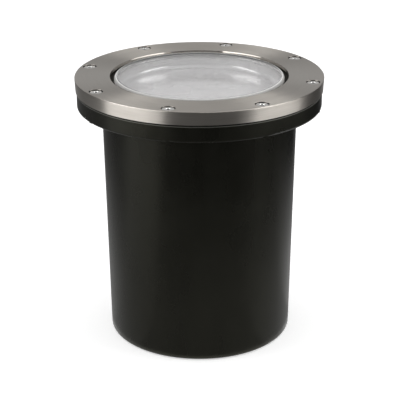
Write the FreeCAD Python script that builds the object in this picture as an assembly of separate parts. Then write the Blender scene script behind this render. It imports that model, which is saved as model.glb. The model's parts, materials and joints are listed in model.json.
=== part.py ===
"""In ground well light: a moulded well, a clamped glass lid and an aimable reflector lamp inside.

Millimetres, +Z up. The origin is the centre of the well's flat underside.
Radial sizes are chained inwards from the trim ring, levels are chained upwards from the base,
so a change of one size carries everything that seats on it.
"""
import FreeCAD, Part
import math
import os

from FreeCAD import Vector

os.makedirs("parts", exist_ok=True)

# ------------------------------------------------------------------ driving sizes (mm, degrees)
# Clearances
PLAY = 0.3                    # free gap between pieces that move past each other
PIN_CLEARANCE = 0.05          # radial, pin in its hole
PRESS_CLEARANCE = 0.02        # radial, piece pushed into a moulded seat
SCREW_CLEARANCE = 0.3         # radial, screw through a plain hole
HOLE_SPARE = 1.0              # blind hole below the tip of its screw or insert
OVERCUT = 1.0                 # a cut reaches this far past the face it starts from
COINCIDENT = 1e-6             # points nearer than this are one point

# Trim ring
RING_DIAMETER = 250.0
RING_LIP_THICKNESS = 5.9      # metal above the lens shoulder
RING_EDGE_DRAFT = 0.7         # the rim draws in towards its underside
RING_EDGE_BREAK = 0.5         # rounding of the ring's sharp edges
SCREW_COUNT = 8
SCREW_FIRST_ANGLE = 30.5
SCREW_TO_RIM = 9.4            # screw axis to the ring's rim
SCREW_TO_REBATE = 12.7        # screw axis to the recess that holds the lens

# Ring screws and their inserts
SCREW_RADIUS = 3.0
SCREW_HEAD_RADIUS = 6.2
SCREW_HEAD_LAND = 0.5         # straight edge of the countersunk head
SCREW_HEAD_SINK = 0.6         # head lies this far below the ring's face
SCREW_COUNTERSINK_RADIUS = 7.0
SCREW_ENGAGEMENT = 11.0       # length of screw inside the insert
SOCKET_ACROSS_FLATS = 4.0
SOCKET_DEPTH = 2.4
INSERT_RADIUS = 4.3
INSERT_LENGTH = 12.0
INSERT_FLANGE_RADIUS = 5.2
INSERT_FLANGE_THICKNESS = 1.0

# Cover lens, its gasket and the diffuser
LENS_FLANGE_THICKNESS = 5.0
LENS_SHOULDER = 15.5          # width of the flange outside the raised face
LENS_GAP = 4.0                # dark gap between glass and ring
LENS_BELOW_RING = 0.3         # raised face to the ring's face
LENS_EDGE_RADIUS = 3.0
LENS_FLANGE_EDGE = 0.6
LENS_ROOT_RADIUS = 1.0        # inside corner between face and flange
LENS_SEAT = 6.5               # overlap of glass and the well's mouth
GLASS_CLEARANCE = 0.1
GASKET_WEB = 1.5
GASKET_TOP_LEG = 1.2
GASKET_BOTTOM_LEG = 1.0
GASKET_LIP = 1.6              # height that the gasket stands into the gap beside the glass
GASKET_LIP_EDGE = 0.5
GASKET_SETBACK = 1.0          # lower leg outside the well's mouth
DIFFUSER_THICKNESS = 1.5
DIFFUSER_DEPTH = 13.0         # glass to the dish's floor
DIFFUSER_WALL_INSET = 1.2     # dish wall inside the glass's raised face
DIFFUSER_WALL_LEAN = 4.0      # the wall draws in by this much towards the floor
DIFFUSER_CORNER = 8.0
DIFFUSER_RIM_BEND = 2.0

# Moulded well
WALL = 4.3
WALL_DRAFT = 1.02             # degrees
FLOOR_THICKNESS = 4.0
BASE_EDGE_RADIUS = 3.0
FLOOR_CORNER_RADIUS = 4.0
FLANGE_SETBACK = 1.7          # flange inside the ring's rim
FLANGE_DEPTH = 16.4
FLANGE_PLATE = 5.0
FLANGE_SKIRT = 4.0
FLANGE_TOP_EDGE = 0.8
FLANGE_LOWER_EDGE = 2.6
FLANGE_ROOT_RADIUS = 2.0
MOULDED_EDGE = 0.5            # small rounding of the moulding's other edges
HOUSING_GASKET_THICKNESS = 1.0
INSERT_BOSS_WALL = 3.2
RIB_THICKNESS = 3.0
RIB_OFFSET_ANGLE = 15.0       # each side of a boss
RIB_SETBACK = 2.0             # ribs end above the skirt's edge
BOSS_SETBACK = 0.5            # bosses end above the skirt's edge

# Conduit entries in the floor
CONDUIT_RADIUS = 9.2
CONDUIT_HUB_WALL = 5.0
CONDUIT_HUB_HEIGHT = 18.0
CONDUIT_OFFSET = 48.0
PLUG_LENGTH = 12.0
PLUG_RECESS = 1.5             # plug lies inside the base
PLUG_SOCKET_ACROSS_FLATS = 10.0
PLUG_SOCKET_DEPTH = 6.0

# Wiring space and mounting plate
WIRING_SPACE = 36.0
PLATE_THICKNESS = 2.0
PLATE_MARGIN = 5.0            # plate to the well's wall
STANDOFF_RADIUS = 6.0
STANDOFF_DRAFT = 1.2          # radius gained towards the floor
STANDOFF_OFFSET = 70.0
STANDOFF_COUNT = 4
STANDOFF_FIRST_ANGLE = 45.0
PLATE_SCREW_RADIUS = 2.0
PLATE_SCREW_HEAD_RADIUS = 4.0
PLATE_SCREW_HEAD = 2.4
PLATE_SCREW_DOME = 1.2
PLATE_SCREW_LENGTH = 14.0
GROMMET_HOLE_RADIUS = 6.0
GROMMET_OFFSET = 30.0
GROMMET_FLANGE = 2.2
GROMMET_LIP = 1.2
GROMMET_EDGE = 0.4
GROMMET_BORE_RADIUS = 3.2

# Terminal block, ground screw and lug
BLOCK_LENGTH = 36.0
BLOCK_WIDTH = 22.0
BLOCK_HEIGHT = 16.0
BLOCK_SHELF = 9.0             # height of the low sides where the wires enter
BLOCK_SHELF_WIDTH = 5.0
BLOCK_EDGE = 1.0
BLOCK_OFFSET = 40.0
POLE_COUNT = 3
WIRE_HOLE_RADIUS = 2.2
WIRE_HOLE_HEIGHT = 5.0
TERMINAL_SCREW_RADIUS = 1.9
TERMINAL_SCREW_INSET = 3.4    # screw axis to the crest's edge
TERMINAL_SCREW_LENGTH = 7.0
TERMINAL_SCREW_SLOT = 0.8
TERMINAL_SLOT_DEPTH = 1.0
TERMINAL_SCREW_SINK = 1.0     # screw's top below the block's crest
GROUND_SCREW_RADIUS = 2.5
GROUND_SCREW_HEAD_RADIUS = 4.5
GROUND_SCREW_HEAD = 3.0
GROUND_SCREW_OFFSET = 34.0
LUG_THICKNESS = 1.2
LUG_EYE_RADIUS = 5.0
LUG_BARREL_RADIUS = 2.6
LUG_BARREL_LENGTH = 9.0
LUG_BORE_RADIUS = 1.6
LUG_TONGUE_OVERLAP = 1.0      # tongue reaches this far under the barrel

# Swivel
BUSH_FLANGE_RADIUS = 11.0
BUSH_FLANGE = 4.0
BUSH_RADIUS = 7.0
STUD_RADIUS = 4.0
STUD_HEAD_RADIUS = 9.0
STUD_HEAD = 3.4
STUD_HEAD_ROUND = 2.6
STUD_TIP = 3.0                # stud above the wing nut
STUD_TIP_EDGE = 0.8
WASHER_RADIUS = 13.0
WASHER_THICKNESS = 1.5
NUT_RADIUS = 7.0
NUT_HEIGHT = 9.0
NUT_TAPER = 1.5
WING_SPAN = 17.0
WING_RISE = 5.0
WING_THICKNESS = 3.0
WING_ROOT = 1.0               # wing starts this far outside the stud, above the nut's foot and below its top
WING_LOWER_ROUND = 2.0
WING_UPPER_ROUND = 3.0

# Yoke
SHEET = 3.0
YOKE_WIDTH = 36.0
YOKE_BEND = 6.0
KNOB_MARGIN = 12.6            # knob's face to the well's mouth
KNOB_HEIGHT = 8.5
KNOB_RADIUS = 9.0
KNOB_GRIPS = 8
KNOB_GRIP_RADIUS = 2.0
KNOB_SHOULDER = 6.0
KNOB_SHOULDER_HEIGHT = 1.6
KNOB_CONE = 1.0               # height over which the shoulder opens to the grip
KNOB_ROOT_ROUND = 0.6
KNOB_CROWN_ROUND = 1.6
KNOB_WASHER = 1.0
KNOB_WASHER_RADIUS = 7.5
LOCK_STUD_RADIUS = 2.5
TILT_LIMIT = 15.0
TILT_SLOT_RADIUS = 32.0
TILT_SLOT_SPARE = 1.0         # degrees beyond the limit at each end
PIVOT_RADIUS = 4.0
PIVOT_HEAD_RADIUS = 6.5
PIVOT_HEAD = 4.0
PIVOT_HEAD_EDGE = 1.0
PIVOT_SEAT_EDGE = 0.5
PIVOT_THREAD_RADIUS = 2.5
PIVOT_WASHER = 1.5
PIVOT_WASHER_RADIUS = 8.0

# Cradle
EAR_SHEET = 3.0
EAR_WIDTH = 28.0
EAR_BELOW_PIVOT = 44.0
EAR_ROUND = 8.0
EAR_TOP_ROUND = 2.0
EAR_PAD_INSET = 2.0
EAR_PAD_OVERLAP = 0.3         # pad reaches this far into the ring's outside
CRADLE_WALL = 2.5
CRADLE_LIP_THICKNESS = 2.5
CRADLE_RIM_HEIGHT = 14.5
CRADLE_EDGE = 0.5
LAMP_CLEARANCE = 1.3
CLIP_SHEET = 1.0
CLIP_WIDTH = 10.0
CLIP_BEND = 1.6
CLIP_REACH = 8.0
CLIP_DIP = 1.2                # tip of the clip below its bend
CLIP_FOOT = 1.0               # foot above the cradle's underside
CLIP_COUNT = 3
CLIP_FIRST_ANGLE = 90.0
CLIP_LIFT = 2.6               # clip above the cradle's rim
CLIP_SCREW_RADIUS = 1.5
CLIP_SCREW_HEAD_RADIUS = 2.8
CLIP_SCREW_HEAD = 1.6

# Reflector lamp
LAMP_LENGTH = 135.0
LAMP_PIVOT_BELOW_CROWN = 30.0
LAMP_RIM_BELOW_CROWN = 18.0   # underside of the rim to the lens's crown
LAMP_RIM_THICKNESS = 3.8
LAMP_RIM_OVERHANG = 3.4       # rim outside the bowl
LAMP_GLASS = 2.2
LAMP_LENS_THICKNESS = 3.0
LAMP_LENS_FALL = 7.6
LAMP_LENS_SLOPE = 29.0        # width of the falling part outside the flat crown
LAMP_LENS_ROUND = 100.0
LAMP_LENS_EDGE = 1.8
LAMP_NECK_RADIUS = 14.5
LAMP_NECK_LENGTH = 10.0
LAMP_NECK_ROUND = 8.0
LAMP_BOWL_TAPER = 4.0         # bowl's shoulder inside its rim
LAMP_BOWL_RISE = 42.0
LAMP_BOWL_ROUND = 60.0
LAMP_BASE_RADIUS = 13.0
LAMP_BASE_LENGTH = 26.0
LAMP_BASE_WALL = 0.6
LAMP_TIP = 4.0                # contact below the screw shell
LAMP_TIP_RADIUS = 4.5
LAMP_TIP_HEIGHT = 1.6
LAMP_TIP_EDGE = 0.8
CAPSULE_RADIUS = 6.0
CAPSULE_STEM_RADIUS = 3.2
CAPSULE_LENGTH = 48.0
CAPSULE_BULB = 24.0
CAPSULE_SHOULDER = 4.0
CAPSULE_SHOULDER_ROUND = 2.0
CAPSULE_CROWN_ROUND = 4.5

# Lampholder and its bracket
HOLDER_RADIUS = 21.0
HOLDER_BORE_RADIUS = 14.6
HOLDER_FLOOR = 10.0
HOLDER_HEIGHT = 46.0
HOLDER_STEP = 2.0             # upper part inside the foot
HOLDER_STEP_HEIGHT = 14.0
HOLDER_STEP_TAPER = 3.0
HOLDER_STEP_ROUND = 1.5
HOLDER_FOOT_EDGE = 1.2
HOLDER_TOP_ROUND = 2.0
HOLDER_BORE_EDGE = 0.8
HOLDER_SHELL_WALL = 0.6
HOLDER_SHELL_END = 2.5        # shell ends below the holder's rim
HOLDER_SCREW_RADIUS = 2.0
HOLDER_SCREW_HEAD_RADIUS = 3.6
HOLDER_SCREW_HEAD = 2.0
HOLDER_SCREW_OFFSET = 15.0
HOLDER_SCREW_DEPTH = 7.0
CONTACT_HEIGHT = 8.8
CONTACT_RADIUS = 5.0
CONTACT_PLATE = 1.0
CONTACT_EDGE = 0.8
BRACKET_SHEET = 2.0
BRACKET_WIDTH = 24.0
BRACKET_BEND = 5.0
BRACKET_HALF_FOOT = 38.0
BRACKET_KNEE = 60.0           # foot to the knee of the strap
BRACKET_BELOW_PIVOT = 10.0
BRACKET_SCREW_BELOW_PIVOT = 21.0
BRACKET_SCREW_SPACING = 15.0
BRACKET_SCREW_RADIUS = 1.75
BRACKET_SCREW_HEAD_RADIUS = 3.2
BRACKET_SCREW_HEAD = 2.0
SWING_CLEARANCE = 6.0         # bracket above the swivel's stud
DIFFUSER_CLEARANCE = 18.0     # lamp's crown to the diffuser, room for the tilt

# ------------------------------------------------------------------ radii, from the rim inwards
ring_radius = RING_DIAMETER / 2.0
screw_circle = ring_radius - SCREW_TO_RIM
rebate_radius = screw_circle - SCREW_TO_REBATE
gasket_radius = rebate_radius - PLAY
lens_radius = gasket_radius - GASKET_WEB - GLASS_CLEARANCE
lens_face_radius = lens_radius - LENS_SHOULDER
ring_bore_radius = lens_face_radius + LENS_GAP
mouth_radius = lens_radius - LENS_SEAT
flange_radius = ring_radius - FLANGE_SETBACK
knob_face = mouth_radius - KNOB_MARGIN
knob_base = knob_face - KNOB_HEIGHT
yoke_outer = knob_base - KNOB_WASHER - PLAY
yoke_inner = yoke_outer - SHEET
ear_outer = yoke_inner - PLAY - PIVOT_WASHER
ear_inner = ear_outer - EAR_SHEET
cradle_bore_radius = ear_inner - CRADLE_WALL
lamp_radius = cradle_bore_radius - LAMP_CLEARANCE
lamp_bowl_rim = lamp_radius - LAMP_RIM_OVERHANG

# ------------------------------------------------------------------ levels, from the base upwards
plate_underside = FLOOR_THICKNESS + WIRING_SPACE
plate_top = plate_underside + PLATE_THICKNESS
yoke_base = plate_top + BUSH_FLANGE + PLAY
bush_top = yoke_base + SHEET + PLAY
nut_base = bush_top + WASHER_THICKNESS + PLAY
stud_top = nut_base + NUT_HEIGHT + WING_RISE / 2.0 + STUD_TIP
holder_base = stud_top + SWING_CLEARANCE + BRACKET_SHEET
socket_floor = holder_base + HOLDER_FLOOR
lamp_tip = socket_floor + CONTACT_HEIGHT + PLAY
lamp_crown = lamp_tip + LAMP_LENGTH
pivot_level = lamp_crown - LAMP_PIVOT_BELOW_CROWN
lamp_rim_seat = lamp_crown - LAMP_RIM_BELOW_CROWN
cradle_low = lamp_rim_seat - CRADLE_LIP_THICKNESS
cradle_high = cradle_low + CRADLE_RIM_HEIGHT
diffuser_underside = lamp_crown + DIFFUSER_CLEARANCE
diffuser_floor = diffuser_underside + DIFFUSER_THICKNESS
lens_underside = diffuser_floor + DIFFUSER_DEPTH
flange_top = lens_underside - DIFFUSER_THICKNESS - GASKET_BOTTOM_LEG
flange_low = flange_top - FLANGE_DEPTH
ring_underside = flange_top + HOUSING_GASKET_THICKNESS
shoulder_level = lens_underside + LENS_FLANGE_THICKNESS
lip_level = shoulder_level + GASKET_TOP_LEG
ring_top = lip_level + RING_LIP_THICKNESS
lens_top = ring_top - LENS_BELOW_RING
lock_level = pivot_level - TILT_SLOT_RADIUS

ORIGIN = Vector(0, 0, 0)
UP = Vector(0, 0, 1)
ALONG_X = Vector(1, 0, 0)
ALONG_Y = Vector(0, 1, 0)
XZ = (ALONG_X, UP, ALONG_Y)
YZ = (ALONG_Y, UP, ALONG_X)
XY = (ALONG_X, ALONG_Y, UP)


# ------------------------------------------------------------------ drawing helpers
def corner_arc(before, corner, after, radius):
    """Start, middle and end of the arc that rounds one corner."""
    to_before = (before - corner).normalize()
    to_after = (after - corner).normalize()
    half_angle = to_before.getAngle(to_after) / 2.0
    reach = radius / math.tan(half_angle)
    inwards = (to_before + to_after).normalize()
    middle = corner + inwards * (radius / math.sin(half_angle) - radius)
    return corner + to_before * reach, middle, corner + to_after * reach


def face_from(corners, plane):
    """Flat face from corners (u, v) or (u, v, rounding) in a plane."""
    points = [plane[0] * corner[0] + plane[1] * corner[1] for corner in corners]
    roundings = [corner[2] if len(corner) > 2 else 0.0 for corner in corners]
    starts = []
    ends = []
    edges = []
    for index, point in enumerate(points):
        start = end = point
        if roundings[index] > 0.0:
            following = points[(index + 1) % len(points)]
            start, middle, end = corner_arc(points[index - 1], point, following, roundings[index])
            edges.append(Part.Arc(start, middle, end).toShape())
        starts.append(start)
        ends.append(end)
    for index, end in enumerate(ends):
        start = starts[(index + 1) % len(starts)]
        if end.distanceToPoint(start) > COINCIDENT:
            edges.append(Part.LineSegment(end, start).toShape())
    return Part.Face(Part.Wire(Part.__sortEdges__(edges)))


def turned(corners):
    """Solid of revolution about the vertical axis, from a section in radius and height."""
    return face_from(corners, XZ).revolve(ORIGIN, UP, 360)


def prism(corners, plane, low, high):
    """Straight solid between two levels along a plane's normal."""
    face = face_from(corners, plane)
    face.translate(plane[2] * low)
    return face.extrude(plane[2] * (high - low))


def strip(path, thickness):
    """Section of a bent sheet: path holds (u, v) or (u, v, bend radius of the middle line)."""
    middle = [Vector(point[0], point[1], 0) for point in path]
    normals = []
    for start, end in zip(middle, middle[1:]):
        run = (end - start).normalize()
        normals.append(Vector(-run.y, run.x, 0))
    left = []
    right = []
    for index, point in enumerate(middle):
        before = normals[max(index - 1, 0)]
        after = normals[min(index, len(normals) - 1)]
        mitre = (before + after).normalize()
        offset = mitre * (thickness / 2.0 / mitre.dot(after))
        bend = path[index][2] if len(path[index]) > 2 else 0.0
        turn = before.cross(after).z
        inner = max(bend - thickness / 2.0, 0.0)
        outer = bend + thickness / 2.0 if bend > 0.0 else 0.0
        left.append((point.x + offset.x, point.y + offset.y, inner if turn > 0 else outer))
        right.append((point.x - offset.x, point.y - offset.y, outer if turn > 0 else inner))
    return left + right[::-1]


def rod(radius, low, high, x=0.0, y=0.0):
    """Upright cylinder."""
    return Part.makeCylinder(radius, high - low, Vector(x, y, low))


def tube(outer, inner, low, high, x=0.0, y=0.0):
    """Upright tube."""
    return rod(outer, low, high, x, y).cut(rod(inner, low, high, x, y))


def rod_along_x(radius, low, high, y, z):
    """Cylinder along X."""
    return Part.makeCylinder(radius, high - low, Vector(low, y, z), ALONG_X)


def hexagon(across_flats, low, high, x=0.0, y=0.0):
    """Upright hexagonal prism."""
    reach = across_flats / math.sqrt(3.0)
    corners = []
    for step in range(6):
        angle = math.radians(60.0 * step)
        corners.append((x + reach * math.cos(angle), y + reach * math.sin(angle)))
    return prism(corners, XY, low, high)


def turned_about_z(shape, angle):
    """Copy of a shape, turned about the well's axis."""
    copy = shape.copy()
    copy.rotate(ORIGIN, UP, angle)
    return copy


def around(shape, count, first_angle):
    """Copies of a shape, evenly spaced about the well's axis."""
    return [turned_about_z(shape, first_angle + 360.0 * step / count) for step in range(count)]


def both_sides(shape):
    """A shape and its half-turn copy about the well's axis."""
    return [shape, turned_about_z(shape, 180.0)]


def laid_along_x(shape, x, y, z):
    """A shape drawn about the upright axis, laid over so that its top points along X."""
    copy = shape.copy()
    copy.rotate(ORIGIN, ALONG_Y, 90.0)
    copy.translate(Vector(x, y, z))
    return copy


# ------------------------------------------------------------------ moulded well
def wall_inner(level):
    """Inside radius of the drafted wall at a level."""
    return mouth_radius - math.tan(math.radians(WALL_DRAFT)) * (flange_top - level)


def wall_outer(level):
    """Outside radius of the drafted wall at a level."""
    return wall_inner(level) + WALL


def well_shell():
    """Can with a drafted wall and a flange whose skirt turns down."""
    plate_low = flange_top - FLANGE_PLATE
    skirt_inner = flange_radius - FLANGE_SKIRT
    return turned([
        (0.0, 0.0),
        (wall_outer(0.0), 0.0, BASE_EDGE_RADIUS),
        (wall_outer(plate_low), plate_low, FLANGE_ROOT_RADIUS),
        (skirt_inner, plate_low, FLANGE_ROOT_RADIUS),
        (skirt_inner, flange_low, MOULDED_EDGE),
        (flange_radius, flange_low, FLANGE_LOWER_EDGE),
        (flange_radius, flange_top, FLANGE_TOP_EDGE),
        (mouth_radius, flange_top, MOULDED_EDGE),
        (wall_inner(FLOOR_THICKNESS), FLOOR_THICKNESS, FLOOR_CORNER_RADIUS),
        (0.0, FLOOR_THICKNESS),
    ])


def insert_boss():
    """Boss under the flange round one threaded insert."""
    high = flange_top - FLANGE_PLATE / 2.0
    return rod(INSERT_RADIUS + INSERT_BOSS_WALL, flange_low + BOSS_SETBACK, high, screw_circle)


def insert_seat():
    """Blind hole for one insert, with the recess for its flange."""
    low = flange_top - INSERT_LENGTH - HOLE_SPARE
    bore = rod(INSERT_RADIUS + PRESS_CLEARANCE, low, flange_top, screw_circle)
    recess_radius = INSERT_FLANGE_RADIUS + PRESS_CLEARANCE
    recess = rod(recess_radius, flange_top - INSERT_FLANGE_THICKNESS, flange_top + OVERCUT, screw_circle)
    return bore.fuse(recess)


def flange_ribs():
    """Radial ribs between wall and skirt, one each side of every boss."""
    low = flange_low + RIB_SETBACK
    high = flange_top - FLANGE_PLATE / 2.0
    inner = wall_outer(low) - WALL / 2.0
    outer = flange_radius - FLANGE_SKIRT / 2.0
    half = RIB_THICKNESS / 2.0
    rib = prism([(inner, -half), (outer, -half), (outer, half), (inner, half)], XY, low, high)
    ribs = around(rib, SCREW_COUNT, SCREW_FIRST_ANGLE - RIB_OFFSET_ANGLE)
    return ribs + around(rib, SCREW_COUNT, SCREW_FIRST_ANGLE + RIB_OFFSET_ANGLE)


def standoff():
    """Tapered standoff on the floor under the mounting plate."""
    height = plate_underside - FLOOR_THICKNESS / 2.0
    foot = STANDOFF_RADIUS + STANDOFF_DRAFT
    return Part.makeCone(foot, STANDOFF_RADIUS, height, Vector(STANDOFF_OFFSET, 0, FLOOR_THICKNESS / 2.0))


def standoff_pilot():
    """Pilot hole of one standoff."""
    low = plate_top - PLATE_SCREW_LENGTH - HOLE_SPARE
    return rod(PLATE_SCREW_RADIUS + PIN_CLEARANCE, low, plate_underside + OVERCUT, STANDOFF_OFFSET)


def conduit_hub(side):
    """Hub inside the floor round one conduit entry."""
    hub_radius = CONDUIT_RADIUS + CONDUIT_HUB_WALL
    return rod(hub_radius, FLOOR_THICKNESS / 2.0, CONDUIT_HUB_HEIGHT, 0.0, side * CONDUIT_OFFSET)


def conduit_hole(side):
    """Entry through floor and hub."""
    return rod(CONDUIT_RADIUS, -OVERCUT, CONDUIT_HUB_HEIGHT + OVERCUT, 0.0, side * CONDUIT_OFFSET)


def well_housing():
    """Moulded well with bosses, ribs, standoffs and conduit hubs."""
    added = around(insert_boss(), SCREW_COUNT, SCREW_FIRST_ANGLE)
    added += flange_ribs()
    added += around(standoff(), STANDOFF_COUNT, STANDOFF_FIRST_ANGLE)
    added += [conduit_hub(1), conduit_hub(-1)]
    cut = around(insert_seat(), SCREW_COUNT, SCREW_FIRST_ANGLE)
    cut += around(standoff_pilot(), STANDOFF_COUNT, STANDOFF_FIRST_ANGLE)
    cut += [conduit_hole(1), conduit_hole(-1)]
    return well_shell().fuse(added).cut(cut).removeSplitter()


def threaded_inserts():
    """Flanged brass inserts for the ring screws."""
    body = rod(INSERT_RADIUS, flange_top - INSERT_LENGTH, flange_top, screw_circle)
    flange = rod(INSERT_FLANGE_RADIUS, flange_top - INSERT_FLANGE_THICKNESS, flange_top, screw_circle)
    low = flange_top - INSERT_LENGTH - OVERCUT
    hole = rod(SCREW_RADIUS + PIN_CLEARANCE, low, flange_top + OVERCUT, screw_circle)
    insert = body.fuse(flange).cut(hole).removeSplitter()
    return Part.makeCompound(around(insert, SCREW_COUNT, SCREW_FIRST_ANGLE))


def housing_gasket():
    """Flat seal between flange and ring, round the lens gasket."""
    seal = tube(flange_radius, rebate_radius, flange_top, ring_underside)
    hole = rod(SCREW_RADIUS + SCREW_CLEARANCE, flange_top - OVERCUT, ring_top, screw_circle)
    return seal.cut(around(hole, SCREW_COUNT, SCREW_FIRST_ANGLE))


def closing_plug():
    """Threaded plug with a hexagon socket, flush inside the front conduit entry."""
    x, y = 0.0, -CONDUIT_OFFSET
    body = rod(CONDUIT_RADIUS - PIN_CLEARANCE, PLUG_RECESS, PLUG_RECESS + PLUG_LENGTH, x, y)
    socket = hexagon(PLUG_SOCKET_ACROSS_FLATS, PLUG_RECESS - OVERCUT, PLUG_RECESS + PLUG_SOCKET_DEPTH, x, y)
    return body.cut(socket)


# ------------------------------------------------------------------ lid
def trim_ring():
    """Turned ring with a rebate for the lens and countersunk screw holes."""
    ring = turned([
        (rebate_radius, ring_underside),
        (ring_radius - RING_EDGE_DRAFT, ring_underside, RING_EDGE_BREAK),
        (ring_radius, ring_top, RING_EDGE_BREAK),
        (ring_bore_radius, ring_top, RING_EDGE_BREAK),
        (ring_bore_radius, lip_level),
        (rebate_radius, lip_level),
    ])
    hole = rod(SCREW_RADIUS + SCREW_CLEARANCE, ring_underside - OVERCUT, ring_top, screw_circle)
    sink = countersunk(SCREW_COUNTERSINK_RADIUS, ring_top, SCREW_HEAD_LAND)
    return ring.cut(around(hole.fuse(sink), SCREW_COUNT, SCREW_FIRST_ANGLE))


def countersunk(radius, top, land):
    """Right-angled countersunk form on the screw circle, down to the shank's radius."""
    depth = radius - SCREW_RADIUS
    centre = Vector(screw_circle, 0, top - land - depth)
    cone = Part.makeCone(SCREW_RADIUS, radius, depth, centre)
    return cone.fuse(rod(radius, top - land, top, screw_circle))


def ring_screws():
    """Flat-head socket screws."""
    head_top = ring_top - SCREW_HEAD_SINK
    shank = rod(SCREW_RADIUS, flange_top - SCREW_ENGAGEMENT, head_top - SCREW_HEAD_LAND, screw_circle)
    head = countersunk(SCREW_HEAD_RADIUS, head_top, SCREW_HEAD_LAND)
    socket = hexagon(SOCKET_ACROSS_FLATS, head_top - SOCKET_DEPTH, head_top + OVERCUT, screw_circle)
    screw = head.fuse(shank).cut(socket).removeSplitter()
    return Part.makeCompound(around(screw, SCREW_COUNT, SCREW_FIRST_ANGLE))


def cover_lens():
    """Stepped glass: a flange under the ring and a raised face in its bore."""
    return turned([
        (0.0, lens_underside),
        (lens_radius, lens_underside, LENS_FLANGE_EDGE),
        (lens_radius, shoulder_level, LENS_FLANGE_EDGE),
        (lens_face_radius, shoulder_level, LENS_ROOT_RADIUS),
        (lens_face_radius, lens_top, LENS_EDGE_RADIUS),
        (0.0, lens_top),
    ])


def lens_gasket():
    """Channel seal that wraps the glass and the diffuser's rim and stands into the gap."""
    leg_low = flange_top
    leg_high = leg_low + GASKET_BOTTOM_LEG
    web_inner = lens_radius + GLASS_CLEARANCE
    lip_inner = lens_face_radius + GLASS_CLEARANCE
    lip_outer = ring_bore_radius - GLASS_CLEARANCE
    return turned([
        (mouth_radius + GASKET_SETBACK, leg_low),
        (gasket_radius, leg_low),
        (gasket_radius, lip_level),
        (lip_outer, lip_level),
        (lip_outer, lip_level + GASKET_LIP, GASKET_LIP_EDGE),
        (lip_inner, lip_level + GASKET_LIP, GASKET_LIP_EDGE),
        (lip_inner, shoulder_level, LENS_ROOT_RADIUS),
        (web_inner, shoulder_level),
        (web_inner, leg_high),
        (mouth_radius + GASKET_SETBACK, leg_high),
    ])


def frosted_diffuser():
    """Dish with a flat floor and a flat rim that lies against the glass."""
    wall_top = lens_face_radius - DIFFUSER_WALL_INSET
    wall_low = wall_top - DIFFUSER_WALL_LEAN
    middle_rim = lens_underside - DIFFUSER_THICKNESS / 2.0
    middle_floor = diffuser_floor - DIFFUSER_THICKNESS / 2.0
    return turned(strip([
        (0.0, middle_floor),
        (wall_low, middle_floor, DIFFUSER_CORNER),
        (wall_top, middle_rim, DIFFUSER_RIM_BEND),
        (lens_radius, middle_rim),
    ], DIFFUSER_THICKNESS))


# ------------------------------------------------------------------ wiring space
def mounting_plate():
    """Sheet disc with holes for its screws, the swivel's stud and two grommets."""
    disc = rod(wall_inner(plate_underside) - PLATE_MARGIN, plate_underside, plate_top)
    screw_hole = rod(PLATE_SCREW_RADIUS + SCREW_CLEARANCE, plate_underside, plate_top, STANDOFF_OFFSET)
    grommet_hole = rod(GROMMET_HOLE_RADIUS, plate_underside, plate_top, 0.0, GROMMET_OFFSET)
    ground_hole = rod(GROUND_SCREW_RADIUS + PIN_CLEARANCE, plate_underside, plate_top, GROUND_SCREW_OFFSET)
    holes = around(screw_hole, STANDOFF_COUNT, STANDOFF_FIRST_ANGLE)
    holes += both_sides(grommet_hole)
    holes += [ground_hole, rod(STUD_RADIUS + PIN_CLEARANCE, plate_underside, plate_top)]
    return disc.cut(holes)


def plate_screws():
    """Pan-head screws into the standoffs."""
    shank = rod(PLATE_SCREW_RADIUS, plate_top - PLATE_SCREW_LENGTH, plate_top, STANDOFF_OFFSET)
    head = turned([
        (0.0, plate_top),
        (PLATE_SCREW_HEAD_RADIUS, plate_top),
        (PLATE_SCREW_HEAD_RADIUS, plate_top + PLATE_SCREW_HEAD, PLATE_SCREW_DOME),
        (0.0, plate_top + PLATE_SCREW_HEAD),
    ])
    head.translate(Vector(STANDOFF_OFFSET, 0, 0))
    screw = shank.fuse(head).removeSplitter()
    return Part.makeCompound(around(screw, STANDOFF_COUNT, STANDOFF_FIRST_ANGLE))


def lead_grommets():
    """Rubber grommets that line the plate's two lead holes."""
    waist = GROMMET_HOLE_RADIUS - PRESS_CLEARANCE
    flange = GROMMET_HOLE_RADIUS + GROMMET_FLANGE
    grommet = turned([
        (GROMMET_BORE_RADIUS, plate_underside - GROMMET_LIP),
        (flange, plate_underside - GROMMET_LIP, GROMMET_EDGE),
        (flange, plate_underside),
        (waist, plate_underside),
        (waist, plate_top),
        (flange, plate_top),
        (flange, plate_top + GROMMET_LIP, GROMMET_EDGE),
        (GROMMET_BORE_RADIUS, plate_top + GROMMET_LIP),
    ])
    grommet.translate(Vector(0, GROMMET_OFFSET, 0))
    return Part.makeCompound(both_sides(grommet))


def terminal_places():
    """X and Y of the terminal screws: two rows across the block's poles."""
    row = BLOCK_WIDTH / 2.0 - BLOCK_SHELF_WIDTH - TERMINAL_SCREW_INSET
    pitch = BLOCK_LENGTH / POLE_COUNT
    places = []
    for pole in range(POLE_COUNT):
        y = pitch * (pole + 0.5) - BLOCK_LENGTH / 2.0
        places.append((-BLOCK_OFFSET - row, y))
        places.append((-BLOCK_OFFSET + row, y))
    return places


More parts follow.
